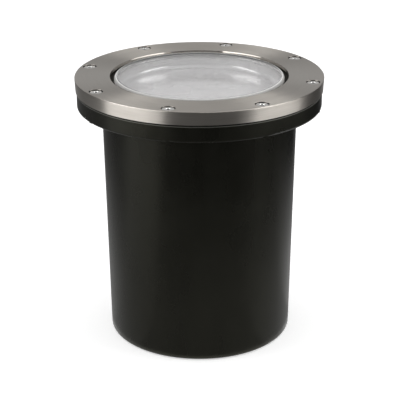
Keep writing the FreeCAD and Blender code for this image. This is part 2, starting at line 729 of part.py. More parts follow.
def terminal_block():
    """Three-pole block with low shelves, wire holes and screw wells."""
    half = BLOCK_WIDTH / 2.0
    crest = half - BLOCK_SHELF_WIDTH
    low = FLOOR_THICKNESS
    section = [
        (-half, low), (half, low), (half, low + BLOCK_SHELF), (crest, low + BLOCK_SHELF),
        (crest, low + BLOCK_HEIGHT, BLOCK_EDGE), (-crest, low + BLOCK_HEIGHT, BLOCK_EDGE),
        (-crest, low + BLOCK_SHELF), (-half, low + BLOCK_SHELF),
    ]
    block = prism(section, XZ, -BLOCK_LENGTH / 2.0, BLOCK_LENGTH / 2.0)
    block.translate(Vector(-BLOCK_OFFSET, 0, 0))
    cuts = []
    for x, y in terminal_places():
        top = low + BLOCK_HEIGHT
        well_low = top - TERMINAL_SCREW_LENGTH
        cuts.append(rod(TERMINAL_SCREW_RADIUS + SCREW_CLEARANCE, well_low, top + OVERCUT, x, y))
        if x > -BLOCK_OFFSET:
            start = -BLOCK_OFFSET - half - OVERCUT
            level = low + WIRE_HOLE_HEIGHT
            end = -BLOCK_OFFSET + half + OVERCUT
            cuts.append(rod_along_x(WIRE_HOLE_RADIUS, start, end, y, level))
    return block.cut(cuts)


def terminal_screws():
    """Slotted clamping screws, two to a pole."""
    screws = []
    crest = FLOOR_THICKNESS + BLOCK_HEIGHT
    top = crest - TERMINAL_SCREW_SINK
    half_slot = TERMINAL_SCREW_SLOT / 2.0
    for x, y in terminal_places():
        body = rod(TERMINAL_SCREW_RADIUS, crest - TERMINAL_SCREW_LENGTH, top, x, y)
        reach = TERMINAL_SCREW_RADIUS + OVERCUT
        corners = [(x - half_slot, y - reach), (x + half_slot, y - reach),
                   (x + half_slot, y + reach), (x - half_slot, y + reach)]
        screws.append(body.cut(prism(corners, XY, top - TERMINAL_SLOT_DEPTH, top + OVERCUT)))
    return Part.makeCompound(screws)


def ground_screw():
    """Hexagon-head screw up through lug and plate."""
    head_top = plate_underside - LUG_THICKNESS
    flats = GROUND_SCREW_HEAD_RADIUS * math.sqrt(3.0)
    head = hexagon(flats, head_top - GROUND_SCREW_HEAD, head_top, GROUND_SCREW_OFFSET)
    shank = rod(GROUND_SCREW_RADIUS, head_top, plate_top + PLAY, GROUND_SCREW_OFFSET)
    return head.fuse(shank).removeSplitter()


def ground_lug():
    """Ring lug with a crimp barrel, under the plate."""
    low = plate_underside - LUG_THICKNESS
    eye = rod(LUG_EYE_RADIUS, low, plate_underside, GROUND_SCREW_OFFSET)
    start = GROUND_SCREW_OFFSET + LUG_EYE_RADIUS + LUG_BARREL_RADIUS
    barrel_level = plate_underside - LUG_BARREL_RADIUS - PLAY
    end = start + LUG_TONGUE_OVERLAP
    tongue = prism([
        (GROUND_SCREW_OFFSET, -LUG_BARREL_RADIUS), (end, -LUG_BARREL_RADIUS),
        (end, LUG_BARREL_RADIUS), (GROUND_SCREW_OFFSET, LUG_BARREL_RADIUS),
    ], XY, low, plate_underside)
    barrel = rod_along_x(LUG_BARREL_RADIUS, start, start + LUG_BARREL_LENGTH, 0.0, barrel_level)
    bore = rod_along_x(LUG_BORE_RADIUS, start, start + LUG_BARREL_LENGTH + OVERCUT, 0.0, barrel_level)
    hole_radius = GROUND_SCREW_RADIUS + PIN_CLEARANCE
    hole = rod(hole_radius, low - OVERCUT, plate_underside + OVERCUT, GROUND_SCREW_OFFSET)
    return eye.fuse([tongue, barrel]).cut([bore, hole]).removeSplitter()


# ------------------------------------------------------------------ swivel
def swivel_bush():
    """Flanged bush on the plate, the yoke's bearing."""
    body = rod(BUSH_RADIUS, plate_top, bush_top)
    flange = rod(BUSH_FLANGE_RADIUS, plate_top, plate_top + BUSH_FLANGE)
    hole = rod(STUD_RADIUS + PIN_CLEARANCE, plate_top - OVERCUT, bush_top + OVERCUT)
    return body.fuse(flange).cut(hole).removeSplitter()


def swivel_stud():
    """Round-head bolt up through plate, bush and washer."""
    low = plate_underside - STUD_HEAD
    head = turned([
        (0.0, low),
        (STUD_HEAD_RADIUS, low, STUD_HEAD_ROUND),
        (STUD_HEAD_RADIUS, plate_underside),
        (0.0, plate_underside),
    ])
    shank = turned([
        (0.0, plate_underside),
        (STUD_RADIUS, plate_underside),
        (STUD_RADIUS, stud_top, STUD_TIP_EDGE),
        (0.0, stud_top),
    ])
    return head.fuse(shank).removeSplitter()


def friction_washer():
    """Washer that the wing nut presses on the bush and the yoke."""
    return tube(WASHER_RADIUS, STUD_RADIUS + PIN_CLEARANCE, bush_top, bush_top + WASHER_THICKNESS)


def swivel_wing_nut():
    """Nut with a conical hub and two wings."""
    hub = Part.makeCone(NUT_RADIUS, NUT_RADIUS - NUT_TAPER, NUT_HEIGHT, Vector(0, 0, nut_base))
    half = WING_THICKNESS / 2.0
    root = STUD_RADIUS + WING_ROOT
    foot = nut_base + WING_ROOT
    wing = prism([
        (root, foot),
        (NUT_RADIUS, foot),
        (WING_SPAN, nut_base + WING_RISE, WING_LOWER_ROUND),
        (WING_SPAN, nut_base + NUT_HEIGHT + WING_RISE / 2.0, WING_UPPER_ROUND),
        (root, nut_base + NUT_HEIGHT - WING_ROOT),
    ], XZ, -half, half)
    hole = rod(STUD_RADIUS + PIN_CLEARANCE, nut_base - OVERCUT, stud_top + OVERCUT)
    return hub.fuse(both_sides(wing)).cut(hole).removeSplitter()


def tilt_slot():
    """Arc slot in one arm of the yoke, centred under the pivot."""
    half_width = LOCK_STUD_RADIUS + SCREW_CLEARANCE
    half_angle = TILT_LIMIT + TILT_SLOT_SPARE
    low = yoke_inner - OVERCUT
    high = yoke_outer + OVERCUT
    outer = rod_along_x(TILT_SLOT_RADIUS + half_width, low, high, 0.0, pivot_level)
    inner = rod_along_x(TILT_SLOT_RADIUS - half_width, low, high, 0.0, pivot_level)
    reach = 2.0 * TILT_SLOT_RADIUS
    across = reach * math.sin(math.radians(half_angle))
    down = pivot_level - reach * math.cos(math.radians(half_angle))
    wedge = prism([(0.0, pivot_level), (-across, down), (across, down)], YZ, low, high)
    slot = outer.cut(inner).common(wedge)
    end_y = TILT_SLOT_RADIUS * math.sin(math.radians(half_angle))
    end_z = pivot_level - TILT_SLOT_RADIUS * math.cos(math.radians(half_angle))
    ends = [rod_along_x(half_width, low, high, side * end_y, end_z) for side in (-1, 1)]
    return slot.fuse(ends).removeSplitter()


def aiming_yoke():
    """Stirrup bent from sheet: round-topped arms, pivot holes, bearing hole and tilt slot."""
    half = YOKE_WIDTH / 2.0
    arm_x = yoke_inner + SHEET / 2.0
    base_z = yoke_base + SHEET / 2.0
    reach = yoke_outer + OVERCUT
    top = pivot_level + half
    stirrup = prism(strip([
        (-arm_x, top), (-arm_x, base_z, YOKE_BEND), (arm_x, base_z, YOKE_BEND), (arm_x, top),
    ], SHEET), XZ, -half, half)
    silhouette = prism([
        (-half, yoke_base), (half, yoke_base), (half, top, half), (-half, top, half),
    ], YZ, -reach, reach)
    pivot = rod_along_x(PIVOT_RADIUS + PIN_CLEARANCE, -reach, reach, 0.0, pivot_level)
    bearing = rod(BUSH_RADIUS + PIN_CLEARANCE, yoke_base - OVERCUT, bush_top)
    return stirrup.common(silhouette).cut([pivot, bearing, tilt_slot()]).removeSplitter()


# ------------------------------------------------------------------ cradle
def cradle_ear():
    """Ear on one side of the cradle, with pivot, lock and bracket screw holes."""
    half = EAR_WIDTH / 2.0
    low = pivot_level - EAR_BELOW_PIVOT
    outline = [
        (-half, low, EAR_ROUND), (half, low, EAR_ROUND),
        (half, cradle_high, EAR_TOP_ROUND), (-half, cradle_high, EAR_TOP_ROUND),
    ]
    ear = prism(outline, YZ, ear_inner, ear_outer)
    pad_x = math.sqrt(ear_inner ** 2 - half ** 2) - EAR_PAD_OVERLAP
    pad_half = half - EAR_PAD_INSET
    pad = prism([
        (-pad_half, cradle_low), (pad_half, cradle_low), (pad_half, cradle_high), (-pad_half, cradle_high),
    ], YZ, pad_x, ear_outer)
    start = pad_x - OVERCUT
    end = ear_outer + OVERCUT
    holes = [
        rod_along_x(PIVOT_THREAD_RADIUS + PIN_CLEARANCE, start, end, 0.0, pivot_level),
        rod_along_x(LOCK_STUD_RADIUS + PIN_CLEARANCE, start, end, 0.0, lock_level),
    ]
    for y, z in bracket_screw_places():
        holes.append(rod_along_x(BRACKET_SCREW_RADIUS + PIN_CLEARANCE, start, end, y, z))
    return ear.fuse(pad).cut(holes)


def cradle_ring():
    """Ring with an inner lip under the lamp's rim and an ear on each side."""
    lip_radius = lamp_bowl_rim + LAMP_CLEARANCE
    ring = turned([
        (lip_radius, cradle_low),
        (ear_inner, cradle_low),
        (ear_inner, cradle_high, CRADLE_EDGE),
        (cradle_bore_radius, cradle_high, CRADLE_EDGE),
        (cradle_bore_radius, lamp_rim_seat),
        (lip_radius, lamp_rim_seat),
    ])
    hole = rod_along_x(CLIP_SCREW_RADIUS + PIN_CLEARANCE, cradle_bore_radius - OVERCUT, ear_inner + OVERCUT,
                       0.0, clip_screw_level())
    ring = ring.cut(around(hole, CLIP_COUNT, CLIP_FIRST_ANGLE))
    lamp_room = rod(cradle_bore_radius, lamp_rim_seat, cradle_high)
    return ring.fuse(both_sides(cradle_ear())).cut(lamp_room).removeSplitter()


def pivot_screws():
    """Shoulder screws on which the cradle tilts."""
    start = ear_inner + PLAY
    head_low = yoke_outer + PLAY
    shoulder = rod_along_x(PIVOT_RADIUS, ear_outer, head_low, 0.0, pivot_level)
    thread = rod_along_x(PIVOT_THREAD_RADIUS, start, ear_outer, 0.0, pivot_level)
    head = laid_along_x(turned([
        (0.0, 0.0),
        (PIVOT_HEAD_RADIUS, 0.0, PIVOT_SEAT_EDGE),
        (PIVOT_HEAD_RADIUS, PIVOT_HEAD, PIVOT_HEAD_EDGE),
        (0.0, PIVOT_HEAD),
    ]), head_low, 0.0, pivot_level)
    socket = laid_along_x(hexagon(SOCKET_ACROSS_FLATS, PIVOT_HEAD - SOCKET_DEPTH, PIVOT_HEAD + OVERCUT),
                          head_low, 0.0, pivot_level)
    screw = shoulder.fuse([thread, head]).cut(socket).removeSplitter()
    return Part.makeCompound(both_sides(screw))


def pivot_washers():
    """Plastic washers between ears and yoke."""
    outer = rod_along_x(PIVOT_WASHER_RADIUS, ear_outer, ear_outer + PIVOT_WASHER, 0.0, pivot_level)
    hole = rod_along_x(PIVOT_RADIUS + PIN_CLEARANCE, ear_outer - OVERCUT, yoke_inner, 0.0, pivot_level)
    return Part.makeCompound(both_sides(outer.cut(hole)))


def tilt_lock_knob():
    """Grip knob with its threaded stud, through the yoke's slot into the ear."""
    grip = turned([
        (0.0, 0.0),
        (KNOB_SHOULDER, 0.0),
        (KNOB_SHOULDER, KNOB_SHOULDER_HEIGHT, KNOB_ROOT_ROUND),
        (KNOB_RADIUS, KNOB_SHOULDER_HEIGHT + KNOB_CONE, KNOB_ROOT_ROUND),
        (KNOB_RADIUS, KNOB_HEIGHT, KNOB_CROWN_ROUND),
        (0.0, KNOB_HEIGHT),
    ])
    groove = rod(KNOB_GRIP_RADIUS, 0.0, KNOB_HEIGHT + OVERCUT, KNOB_RADIUS + KNOB_GRIP_RADIUS / 2.0)
    grip = grip.cut(around(groove, KNOB_GRIPS, 0.0))
    stud = rod_along_x(LOCK_STUD_RADIUS, ear_inner, knob_base, 0.0, lock_level)
    return laid_along_x(grip, knob_base, 0.0, lock_level).fuse(stud).removeSplitter()


def knob_washer():
    """Washer between knob and yoke."""
    outer = rod_along_x(KNOB_WASHER_RADIUS, yoke_outer + PLAY, knob_base, 0.0, lock_level)
    hole = rod_along_x(LOCK_STUD_RADIUS + PIN_CLEARANCE, yoke_outer, knob_base + OVERCUT, 0.0, lock_level)
    return outer.cut(hole)


def clip_screw_level():
    """Height of the screws that hold the lamp clips."""
    return (lamp_rim_seat + cradle_high) / 2.0


def lamp_clips():
    """Bent spring clips over the lamp's rim."""
    middle = ear_inner + CLIP_SHEET / 2.0
    top = cradle_high + CLIP_LIFT
    clip = prism(strip([
        (middle, cradle_low + CLIP_FOOT), (middle, top, CLIP_BEND), (middle - CLIP_REACH, top - CLIP_DIP),
    ], CLIP_SHEET), XZ, -CLIP_WIDTH / 2.0, CLIP_WIDTH / 2.0)
    hole = rod_along_x(CLIP_SCREW_RADIUS + PIN_CLEARANCE, ear_inner - OVERCUT,
                       ear_inner + CLIP_SHEET + OVERCUT, 0.0, clip_screw_level())
    return Part.makeCompound(around(clip.cut(hole), CLIP_COUNT, CLIP_FIRST_ANGLE))


def clip_screws():
    """Screws that hold the clips on the cradle."""
    level = clip_screw_level()
    seat = ear_inner + CLIP_SHEET
    shank = rod_along_x(CLIP_SCREW_RADIUS, cradle_bore_radius + PLAY, seat, 0.0, level)
    head = rod_along_x(CLIP_SCREW_HEAD_RADIUS, seat, seat + CLIP_SCREW_HEAD, 0.0, level)
    screw = shank.fuse(head).removeSplitter()
    return Part.makeCompound(around(screw, CLIP_COUNT, CLIP_FIRST_ANGLE))


# ------------------------------------------------------------------ reflector lamp
def shell_low():
    """Lower edge of the lamp's screw shell."""
    return lamp_tip + LAMP_TIP


def shell_high():
    """Upper edge of the lamp's screw shell, where the neck starts."""
    return shell_low() + LAMP_BASE_LENGTH


def lamp_reflector():
    """Bowl of the reflector lamp with its neck and rim."""
    neck = LAMP_NECK_RADIUS - LAMP_GLASS / 2.0
    bowl = lamp_bowl_rim - LAMP_GLASS / 2.0
    shoulder = shell_high() + LAMP_NECK_LENGTH
    shell = turned(strip([
        (neck, shell_high()),
        (neck, shoulder, LAMP_NECK_ROUND),
        (bowl - LAMP_BOWL_TAPER, shoulder + LAMP_BOWL_RISE, LAMP_BOWL_ROUND),
        (bowl, lamp_rim_seat + LAMP_RIM_THICKNESS),
    ], LAMP_GLASS))
    rim = tube(lamp_radius, bowl, lamp_rim_seat, lamp_rim_seat + LAMP_RIM_THICKNESS)
    return shell.fuse(rim).removeSplitter()


def lamp_lens():
    """Domed front glass of the lamp, joined to the rim."""
    seat = lamp_rim_seat + LAMP_RIM_THICKNESS
    half = LAMP_LENS_THICKNESS / 2.0
    edge = lamp_radius - half
    level = lamp_crown - half
    return turned(strip([
        (0.0, level),
        (edge - LAMP_LENS_SLOPE, level, LAMP_LENS_ROUND),
        (edge, level - LAMP_LENS_FALL, LAMP_LENS_EDGE),
        (edge, seat),
    ], LAMP_LENS_THICKNESS))


def lamp_base_shell():
    """Screw shell of the lamp's base."""
    return tube(LAMP_BASE_RADIUS, LAMP_BASE_RADIUS - LAMP_BASE_WALL, shell_low(), shell_high())


def lamp_base_insulator():
    """Insulating body inside the screw shell, with the end contact."""
    inner = LAMP_BASE_RADIUS - LAMP_BASE_WALL - PRESS_CLEARANCE
    return turned([
        (0.0, lamp_tip),
        (LAMP_TIP_RADIUS, lamp_tip, LAMP_TIP_EDGE),
        (LAMP_TIP_RADIUS, lamp_tip + LAMP_TIP_HEIGHT),
        (inner, shell_low()),
        (inner, shell_high()),
        (0.0, shell_high()),
    ])


def lamp_capsule():
    """Quartz capsule on its stem."""
    low = shell_high()
    top = low + CAPSULE_LENGTH
    return turned([
        (0.0, low),
        (CAPSULE_STEM_RADIUS, low),
        (CAPSULE_STEM_RADIUS, top - CAPSULE_BULB, CAPSULE_SHOULDER_ROUND),
        (CAPSULE_RADIUS, top - CAPSULE_BULB + CAPSULE_SHOULDER, CAPSULE_SHOULDER_ROUND),
        (CAPSULE_RADIUS, top, CAPSULE_CROWN_ROUND),
        (0.0, top),
    ])


# ------------------------------------------------------------------ lampholder
def lampholder_body():
    """Ceramic body with a stepped outside and a deep bore."""
    top = holder_base + HOLDER_HEIGHT
    step = holder_base + HOLDER_STEP_HEIGHT
    upper = HOLDER_RADIUS - HOLDER_STEP
    body = turned([
        (0.0, holder_base),
        (HOLDER_RADIUS, holder_base, HOLDER_FOOT_EDGE),
        (HOLDER_RADIUS, step, HOLDER_STEP_ROUND),
        (upper, step + HOLDER_STEP_TAPER, HOLDER_STEP_ROUND),
        (upper, top, HOLDER_TOP_ROUND),
        (HOLDER_BORE_RADIUS, top, HOLDER_BORE_EDGE),
        (HOLDER_BORE_RADIUS, socket_floor),
        (0.0, socket_floor),
    ])
    hole = rod(HOLDER_SCREW_RADIUS + PIN_CLEARANCE, holder_base - OVERCUT, holder_base + HOLDER_SCREW_DEPTH,
               HOLDER_SCREW_OFFSET)
    return body.cut(both_sides(hole))


def lampholder_shell():
    """Screw shell inside the lampholder."""
    outer = HOLDER_BORE_RADIUS - PRESS_CLEARANCE
    top = holder_base + HOLDER_HEIGHT - HOLDER_SHELL_END
    return tube(outer, outer - HOLDER_SHELL_WALL, socket_floor, top)


def lampholder_contact():
    """Sprung centre contact on the lampholder's floor."""
    return turned([
        (0.0, socket_floor),
        (CONTACT_RADIUS, socket_floor),
        (CONTACT_RADIUS, socket_floor + CONTACT_PLATE),
        (CONTACT_RADIUS / 2.0, socket_floor + CONTACT_HEIGHT, CONTACT_EDGE),
        (0.0, socket_floor + CONTACT_HEIGHT),
    ])


def bracket_screw_places():
    """Y and Z of the two screws that join the bracket to an ear."""
    level = pivot_level - BRACKET_SCREW_BELOW_PIVOT
    half = BRACKET_SCREW_SPACING / 2.0
    return [(-half, level), (half, level)]


def lampholder_bracket():
    """Strap bent from sheet, from ear to ear under the lampholder."""
    half = BRACKET_WIDTH / 2.0
    arm_x = ear_inner - BRACKET_SHEET / 2.0
    foot_z = holder_base - BRACKET_SHEET / 2.0
    top = pivot_level - BRACKET_BELOW_PIVOT
    strap = prism(strip([
        (-arm_x, top),
        (-arm_x, foot_z + BRACKET_KNEE, BRACKET_BEND),
        (-BRACKET_HALF_FOOT, foot_z, BRACKET_BEND),
        (BRACKET_HALF_FOOT, foot_z, BRACKET_BEND),
        (arm_x, foot_z + BRACKET_KNEE, BRACKET_BEND),
        (arm_x, top),
    ], BRACKET_SHEET), XZ, -half, half)
    reach = ear_outer + OVERCUT
    holes = [rod_along_x(LOCK_STUD_RADIUS + SCREW_CLEARANCE, -reach, reach, 0.0, lock_level)]
    for y, z in bracket_screw_places():
        holes.append(rod_along_x(BRACKET_SCREW_RADIUS + PIN_CLEARANCE, -reach, reach, y, z))
    foot_low = foot_z - BRACKET_SHEET
    foot_high = foot_z + BRACKET_SHEET
    foot_hole = rod(HOLDER_SCREW_RADIUS + PIN_CLEARANCE, foot_low, foot_high, HOLDER_SCREW_OFFSET)
    return strap.cut(holes + both_sides(foot_hole))


def lampholder_screws():
    """Screws up through the bracket into the lampholder."""
    seat = holder_base - BRACKET_SHEET
    tip = holder_base + HOLDER_SCREW_DEPTH - HOLE_SPARE
    shank = rod(HOLDER_SCREW_RADIUS, seat, tip, HOLDER_SCREW_OFFSET)
    head = rod(HOLDER_SCREW_HEAD_RADIUS, seat - HOLDER_SCREW_HEAD, seat, HOLDER_SCREW_OFFSET)
    return Part.makeCompound(both_sides(shank.fuse(head).removeSplitter()))


def bracket_screws():
    """Screws from inside the bracket into the ears."""
    seat = ear_inner - BRACKET_SHEET
    screws = []
    for y, z in bracket_screw_places():
        shank = rod_along_x(BRACKET_SCREW_RADIUS, seat, ear_outer, y, z)
        head = rod_along_x(BRACKET_SCREW_HEAD_RADIUS, seat - BRACKET_SCREW_HEAD, seat, y, z)
        screws += both_sides(shank.fuse(head).removeSplitter())
    return Part.makeCompound(screws)


SUBPARTS = [
    well_housing, threaded_inserts, housing_gasket, closing_plug,
    trim_ring, ring_screws, cover_lens, lens_gasket, frosted_diffuser,
    mounting_plate, plate_screws, lead_grommets, terminal_block, terminal_screws, ground_screw, ground_lug,
    swivel_bush, swivel_stud, friction_washer, swivel_wing_nut, aiming_yoke,
    cradle_ring, pivot_screws, pivot_washers, tilt_lock_knob, knob_washer, lamp_clips, clip_screws,
    lamp_reflector, lamp_lens, lamp_base_shell, lamp_base_insulator, lamp_capsule,
    lampholder_body, lampholder_shell, lampholder_contact,
    lampholder_bracket, lampholder_screws, bracket_screws,
]

for subpart in SUBPARTS:
    shape = subpart()
    shape.exportStep("parts/" + subpart.__name__ + ".step")
    print(f"{subpart.__name__:22s} solids {len(shape.Solids)} valid {shape.isValid()} "
          f"volume {shape.Volume:10.1f} mm3")
print(f"ring top {ring_top:.2f}  flange top {flange_top:.2f}  pivot {pivot_level:.2f}")
print(f"lamp radius {lamp_radius:.2f}  knob face {knob_face:.2f}  mouth {mouth_radius:.2f}")
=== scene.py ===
"""In ground well light: finishes, fine fasteners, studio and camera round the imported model.

Lengths are in metres, in the model's own frame: +Z up, the origin at the centre of the flat underside.
"""
from __future__ import annotations

import json
import logging
import math
from dataclasses import dataclass, field
from enum import Enum
from typing import Any, Callable, Iterable

import bmesh
import bpy
from mathutils import Matrix, Quaternion, Vector

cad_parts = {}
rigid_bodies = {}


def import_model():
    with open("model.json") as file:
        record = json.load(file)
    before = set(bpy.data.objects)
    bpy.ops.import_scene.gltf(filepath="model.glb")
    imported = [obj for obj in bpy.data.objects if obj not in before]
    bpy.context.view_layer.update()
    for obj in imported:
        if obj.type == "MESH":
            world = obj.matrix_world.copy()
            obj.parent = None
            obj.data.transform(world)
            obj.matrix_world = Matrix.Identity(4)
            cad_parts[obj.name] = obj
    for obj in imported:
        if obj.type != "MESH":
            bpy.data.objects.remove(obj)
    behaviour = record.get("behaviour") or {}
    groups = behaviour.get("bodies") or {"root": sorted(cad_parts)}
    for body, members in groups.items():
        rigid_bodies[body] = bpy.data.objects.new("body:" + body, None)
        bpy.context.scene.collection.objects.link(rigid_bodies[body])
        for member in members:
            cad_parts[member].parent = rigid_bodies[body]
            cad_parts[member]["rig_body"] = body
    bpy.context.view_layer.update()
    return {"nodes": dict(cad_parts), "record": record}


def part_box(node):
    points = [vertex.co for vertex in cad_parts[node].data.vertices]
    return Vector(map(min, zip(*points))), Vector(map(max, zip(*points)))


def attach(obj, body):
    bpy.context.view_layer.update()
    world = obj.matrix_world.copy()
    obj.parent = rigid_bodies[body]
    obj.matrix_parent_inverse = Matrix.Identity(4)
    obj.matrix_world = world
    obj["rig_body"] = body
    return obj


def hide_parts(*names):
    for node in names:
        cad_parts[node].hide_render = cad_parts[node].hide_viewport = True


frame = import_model()

log = logging.getLogger("well_light")
MM = 0.001
UP = Vector((0.0, 0.0, 1.0))
WHITE = (1.0, 1.0, 1.0, 1.0)
BLACK = (0.0, 0.0, 0.0, 1.0)
# the attribute below sets how much painted shade those faces take
RECESS_SHADE = "recess"                   # attribute of faces that a drive's cutter leaves
AIM = "aim"                         # attribute of the points that screws stand on
NOISE_LOW, NOISE_HIGH = 0.3, 0.7    # where most values of a noise pattern lie
SHARP_ANGLE = 32.0                  # degrees between faces from which an edge stays sharp
MERGE_DISTANCE = 0.001 * MM
SPIRAL_STEPS = 20                   # points in one turn of a thread
THREAD_SIDES = 6
Colour = tuple[float, float, float]
Place = tuple[float, float, float]
Profile = list[tuple[float, float]]
Socket = bpy.types.NodeSocket


# ---------------------------------------------------------------- shader graphs
class Nodes:
    """A node tree, with short calls to add, fill and link its nodes."""

    def __init__(self, tree: bpy.types.NodeTree) -> None:
        """Takes the tree to work on."""
        self.tree = tree

    def add(self, kind: str, inputs: dict[str | int, Any] | None = None,
            **settings: Any) -> bpy.types.Node:
        """Adds a node and fills its inputs.

        Args:
            kind: Blender's name of the node type.
            inputs: Sockets or plain values by the input's name or number.
            settings: Properties of the node.

        Returns:
            The new node.
        """
        node = self.tree.nodes.new(kind)
        for name, value in settings.items():
            setattr(node, name, value)
        self.fill(node, inputs or {})
        return node

    def fill(self, node: bpy.types.Node, inputs: dict[str | int, Any]) -> None:
        """Gives a node's inputs their links or plain values."""
        for name, value in inputs.items():
            if isinstance(value, Socket):
                self.join(value, node.inputs[name])
            else:
                node.inputs[name].default_value = value

    def join(self, source: Socket, target: Socket) -> None:
        """Links two sockets."""
        self.tree.links.new(source, target)

    def math(self, operation: str, *values: Any) -> Socket:
        """Result of a Math node on sockets or numbers."""
        return self.add("ShaderNodeMath", dict(enumerate(values)), operation=operation).outputs[0]

    def path_share(self) -> Socket:
        """1 for camera, glossy and transmission rays, and 0 for the light on surfaces."""
        path = self.add("ShaderNodeLightPath").outputs
        seen = self.math("MAXIMUM", path["Is Camera Ray"], path["Is Glossy Ray"])
        return self.math("MAXIMUM", seen, path["Is Transmission Ray"])


class Graph(Nodes):
    """Node tree of one material, with short calls for what the finishes share."""

    def __init__(self, name: str) -> None:
        """Starts a material with one Principled shader.

        Args:
            name: Name of the material.
        """
        self.material = bpy.data.materials.new(name)
        self.material.use_nodes = True
        super().__init__(self.material.node_tree)
        self.tree.nodes.clear()
        self.output = self.add("ShaderNodeOutputMaterial")
        self.shader = self.add("ShaderNodeBsdfPrincipled")
        self.join(self.shader.outputs["BSDF"], self.output.inputs["Surface"])
        self.place = self.add("ShaderNodeTexCoord").outputs["Object"]

    def set(self, **inputs: Any) -> None:
        """Sets the Principled shader's inputs, named with underscores for spaces."""
        self.fill(self.shader, {name.replace("_", " "): value for name, value in inputs.items()})

    def range(self, value: Socket, low: float, high: float,
              start: float = 0.0, end: float = 1.0) -> Socket:
        """Maps a value from start..end onto low..high.

        Args:
            value: The socket to map.
            low: Result at the start.
            high: Result at the end.
            start: Value that gives low.
            end: Value that gives high.

        Returns:
            The mapped value's socket.
        """
        return self.add("ShaderNodeMapRange", {
            "Value": value, "From Min": start, "From Max": end,
            "To Min": low, "To Max": high}).outputs["Result"]

    def spread(self, pattern: Socket, low: float = 0.0,
               high: float = 1.0) -> Socket:
        """Maps the usual span of a noise pattern onto low..high."""
        return self.range(pattern, low, high, NOISE_LOW, NOISE_HIGH)

    def blend(self, patterns: Iterable[Socket],
              shares: Iterable[float]) -> Socket:
        """Sum of patterns, each times its share."""
        parts = [self.math("MULTIPLY", pattern, share) for pattern, share in zip(patterns, shares)]
        total = parts[0]
        for part in parts[1:]:
            total = self.math("ADD", total, part)
        return total

    def stretch(self, scale: Place) -> Socket:
        """Place of the surface, scaled differently along each axis."""
        return self.add("ShaderNodeMapping", {"Vector": self.place, "Scale": scale}).outputs["Vector"]

    def noise(self, scale: float, detail: float = 3.0, roughness: float = 0.55,
              place: Socket | None = None) -> Socket:
        """Value of a noise pattern.

        Args:
            scale: Features per metre.
            detail: Octaves.
            roughness: Share of the finer octaves.
            place: Coordinates, or the surface's own place when left out.

        Returns:
            The pattern's value socket, about 0.3 to 0.7.
        """
        return self.add("ShaderNodeTexNoise", {
            "Vector": place or self.place, "Scale": scale, "Detail": detail,
            "Roughness": roughness}).outputs["Fac"]

    def cells(self, scale: float) -> bpy.types.Node:
        """Voronoi node at a scale in cells per metre."""
        return self.add("ShaderNodeTexVoronoi", {"Vector": self.place, "Scale": scale})

    def tint(self, share: Socket, first: Colour | Socket,
             second: Colour) -> Socket:
        """Mix of two colours, or of a colour's socket and a colour, by a share."""
        start = first if isinstance(first, Socket) else (*first, 1.0)
        colours = {0: share, 6: start, 7: (*second, 1.0)}    # the node's own numbers of its colour inputs
        return self.add("ShaderNodeMix", colours, data_type="RGBA").outputs[2]

    def split(self) -> tuple[Socket, Socket, Socket]:
        """X, Y and Z of the surface's place."""
        return tuple(self.add("ShaderNodeSeparateXYZ", {0: self.place}).outputs)

    def radius(self) -> Socket:
        """Distance of the surface from the object's axis."""
        x, y, _ = self.split()
        squares = self.math("ADD", self.math("MULTIPLY", x, x), self.math("MULTIPLY", y, y))
        return self.math("SQRT", squares)

    def turned(self, along: float, across: float) -> Socket:
        """Coordinates that follow lathe marks about the object's axis.

        Args:
            along: Features per turn, about.
            across: Features per metre across the marks.

        Returns:
            A vector socket without a seam, joined over a rim's edge.
        """
        x, y, z = self.split()
        radius = self.radius()
        return self.add("ShaderNodeCombineXYZ", {
            0: self.math("MULTIPLY", self.math("DIVIDE", x, radius), along),
            1: self.math("MULTIPLY", self.math("DIVIDE", y, radius), along),
            2: self.math("MULTIPLY", self.math("SUBTRACT", radius, z), across),
        }).outputs[0]

    def bump(self, height: Socket, distance: float,
             under: Socket | None = None) -> Socket:
        """Surface normal of a height pattern.

        Args:
            height: Height's socket, 0 to 1.
            distance: Height of a full step, in metres.
            under: Normal of a coarser bump below this one.

        Returns:
            The normal's socket.
        """
        node = self.add("ShaderNodeBump", {"Height": height, "Distance": distance, "Strength": 1.0})
        if under is not None:
            self.join(under, node.inputs["Normal"])
        return node.outputs["Normal"]


# ---------------------------------------------------------------- finishes
@dataclass(frozen=True)
class Finish:
    """A surface's finish. Its name is that of the record's material slot."""

    name: str

    def material(self) -> bpy.types.Material:
        """The finish's material, made at its first use."""
        found = bpy.data.materials.get("finish_" + self.name)
        if found is not None:
            return found
        graph = Graph("finish_" + self.name)
        self.paint(graph)
        return graph.material

    def paint(self, graph: Graph) -> None:
        """Builds the finish's nodes.

        Args:
            graph: The material's graph.
        """
        raise NotImplementedError


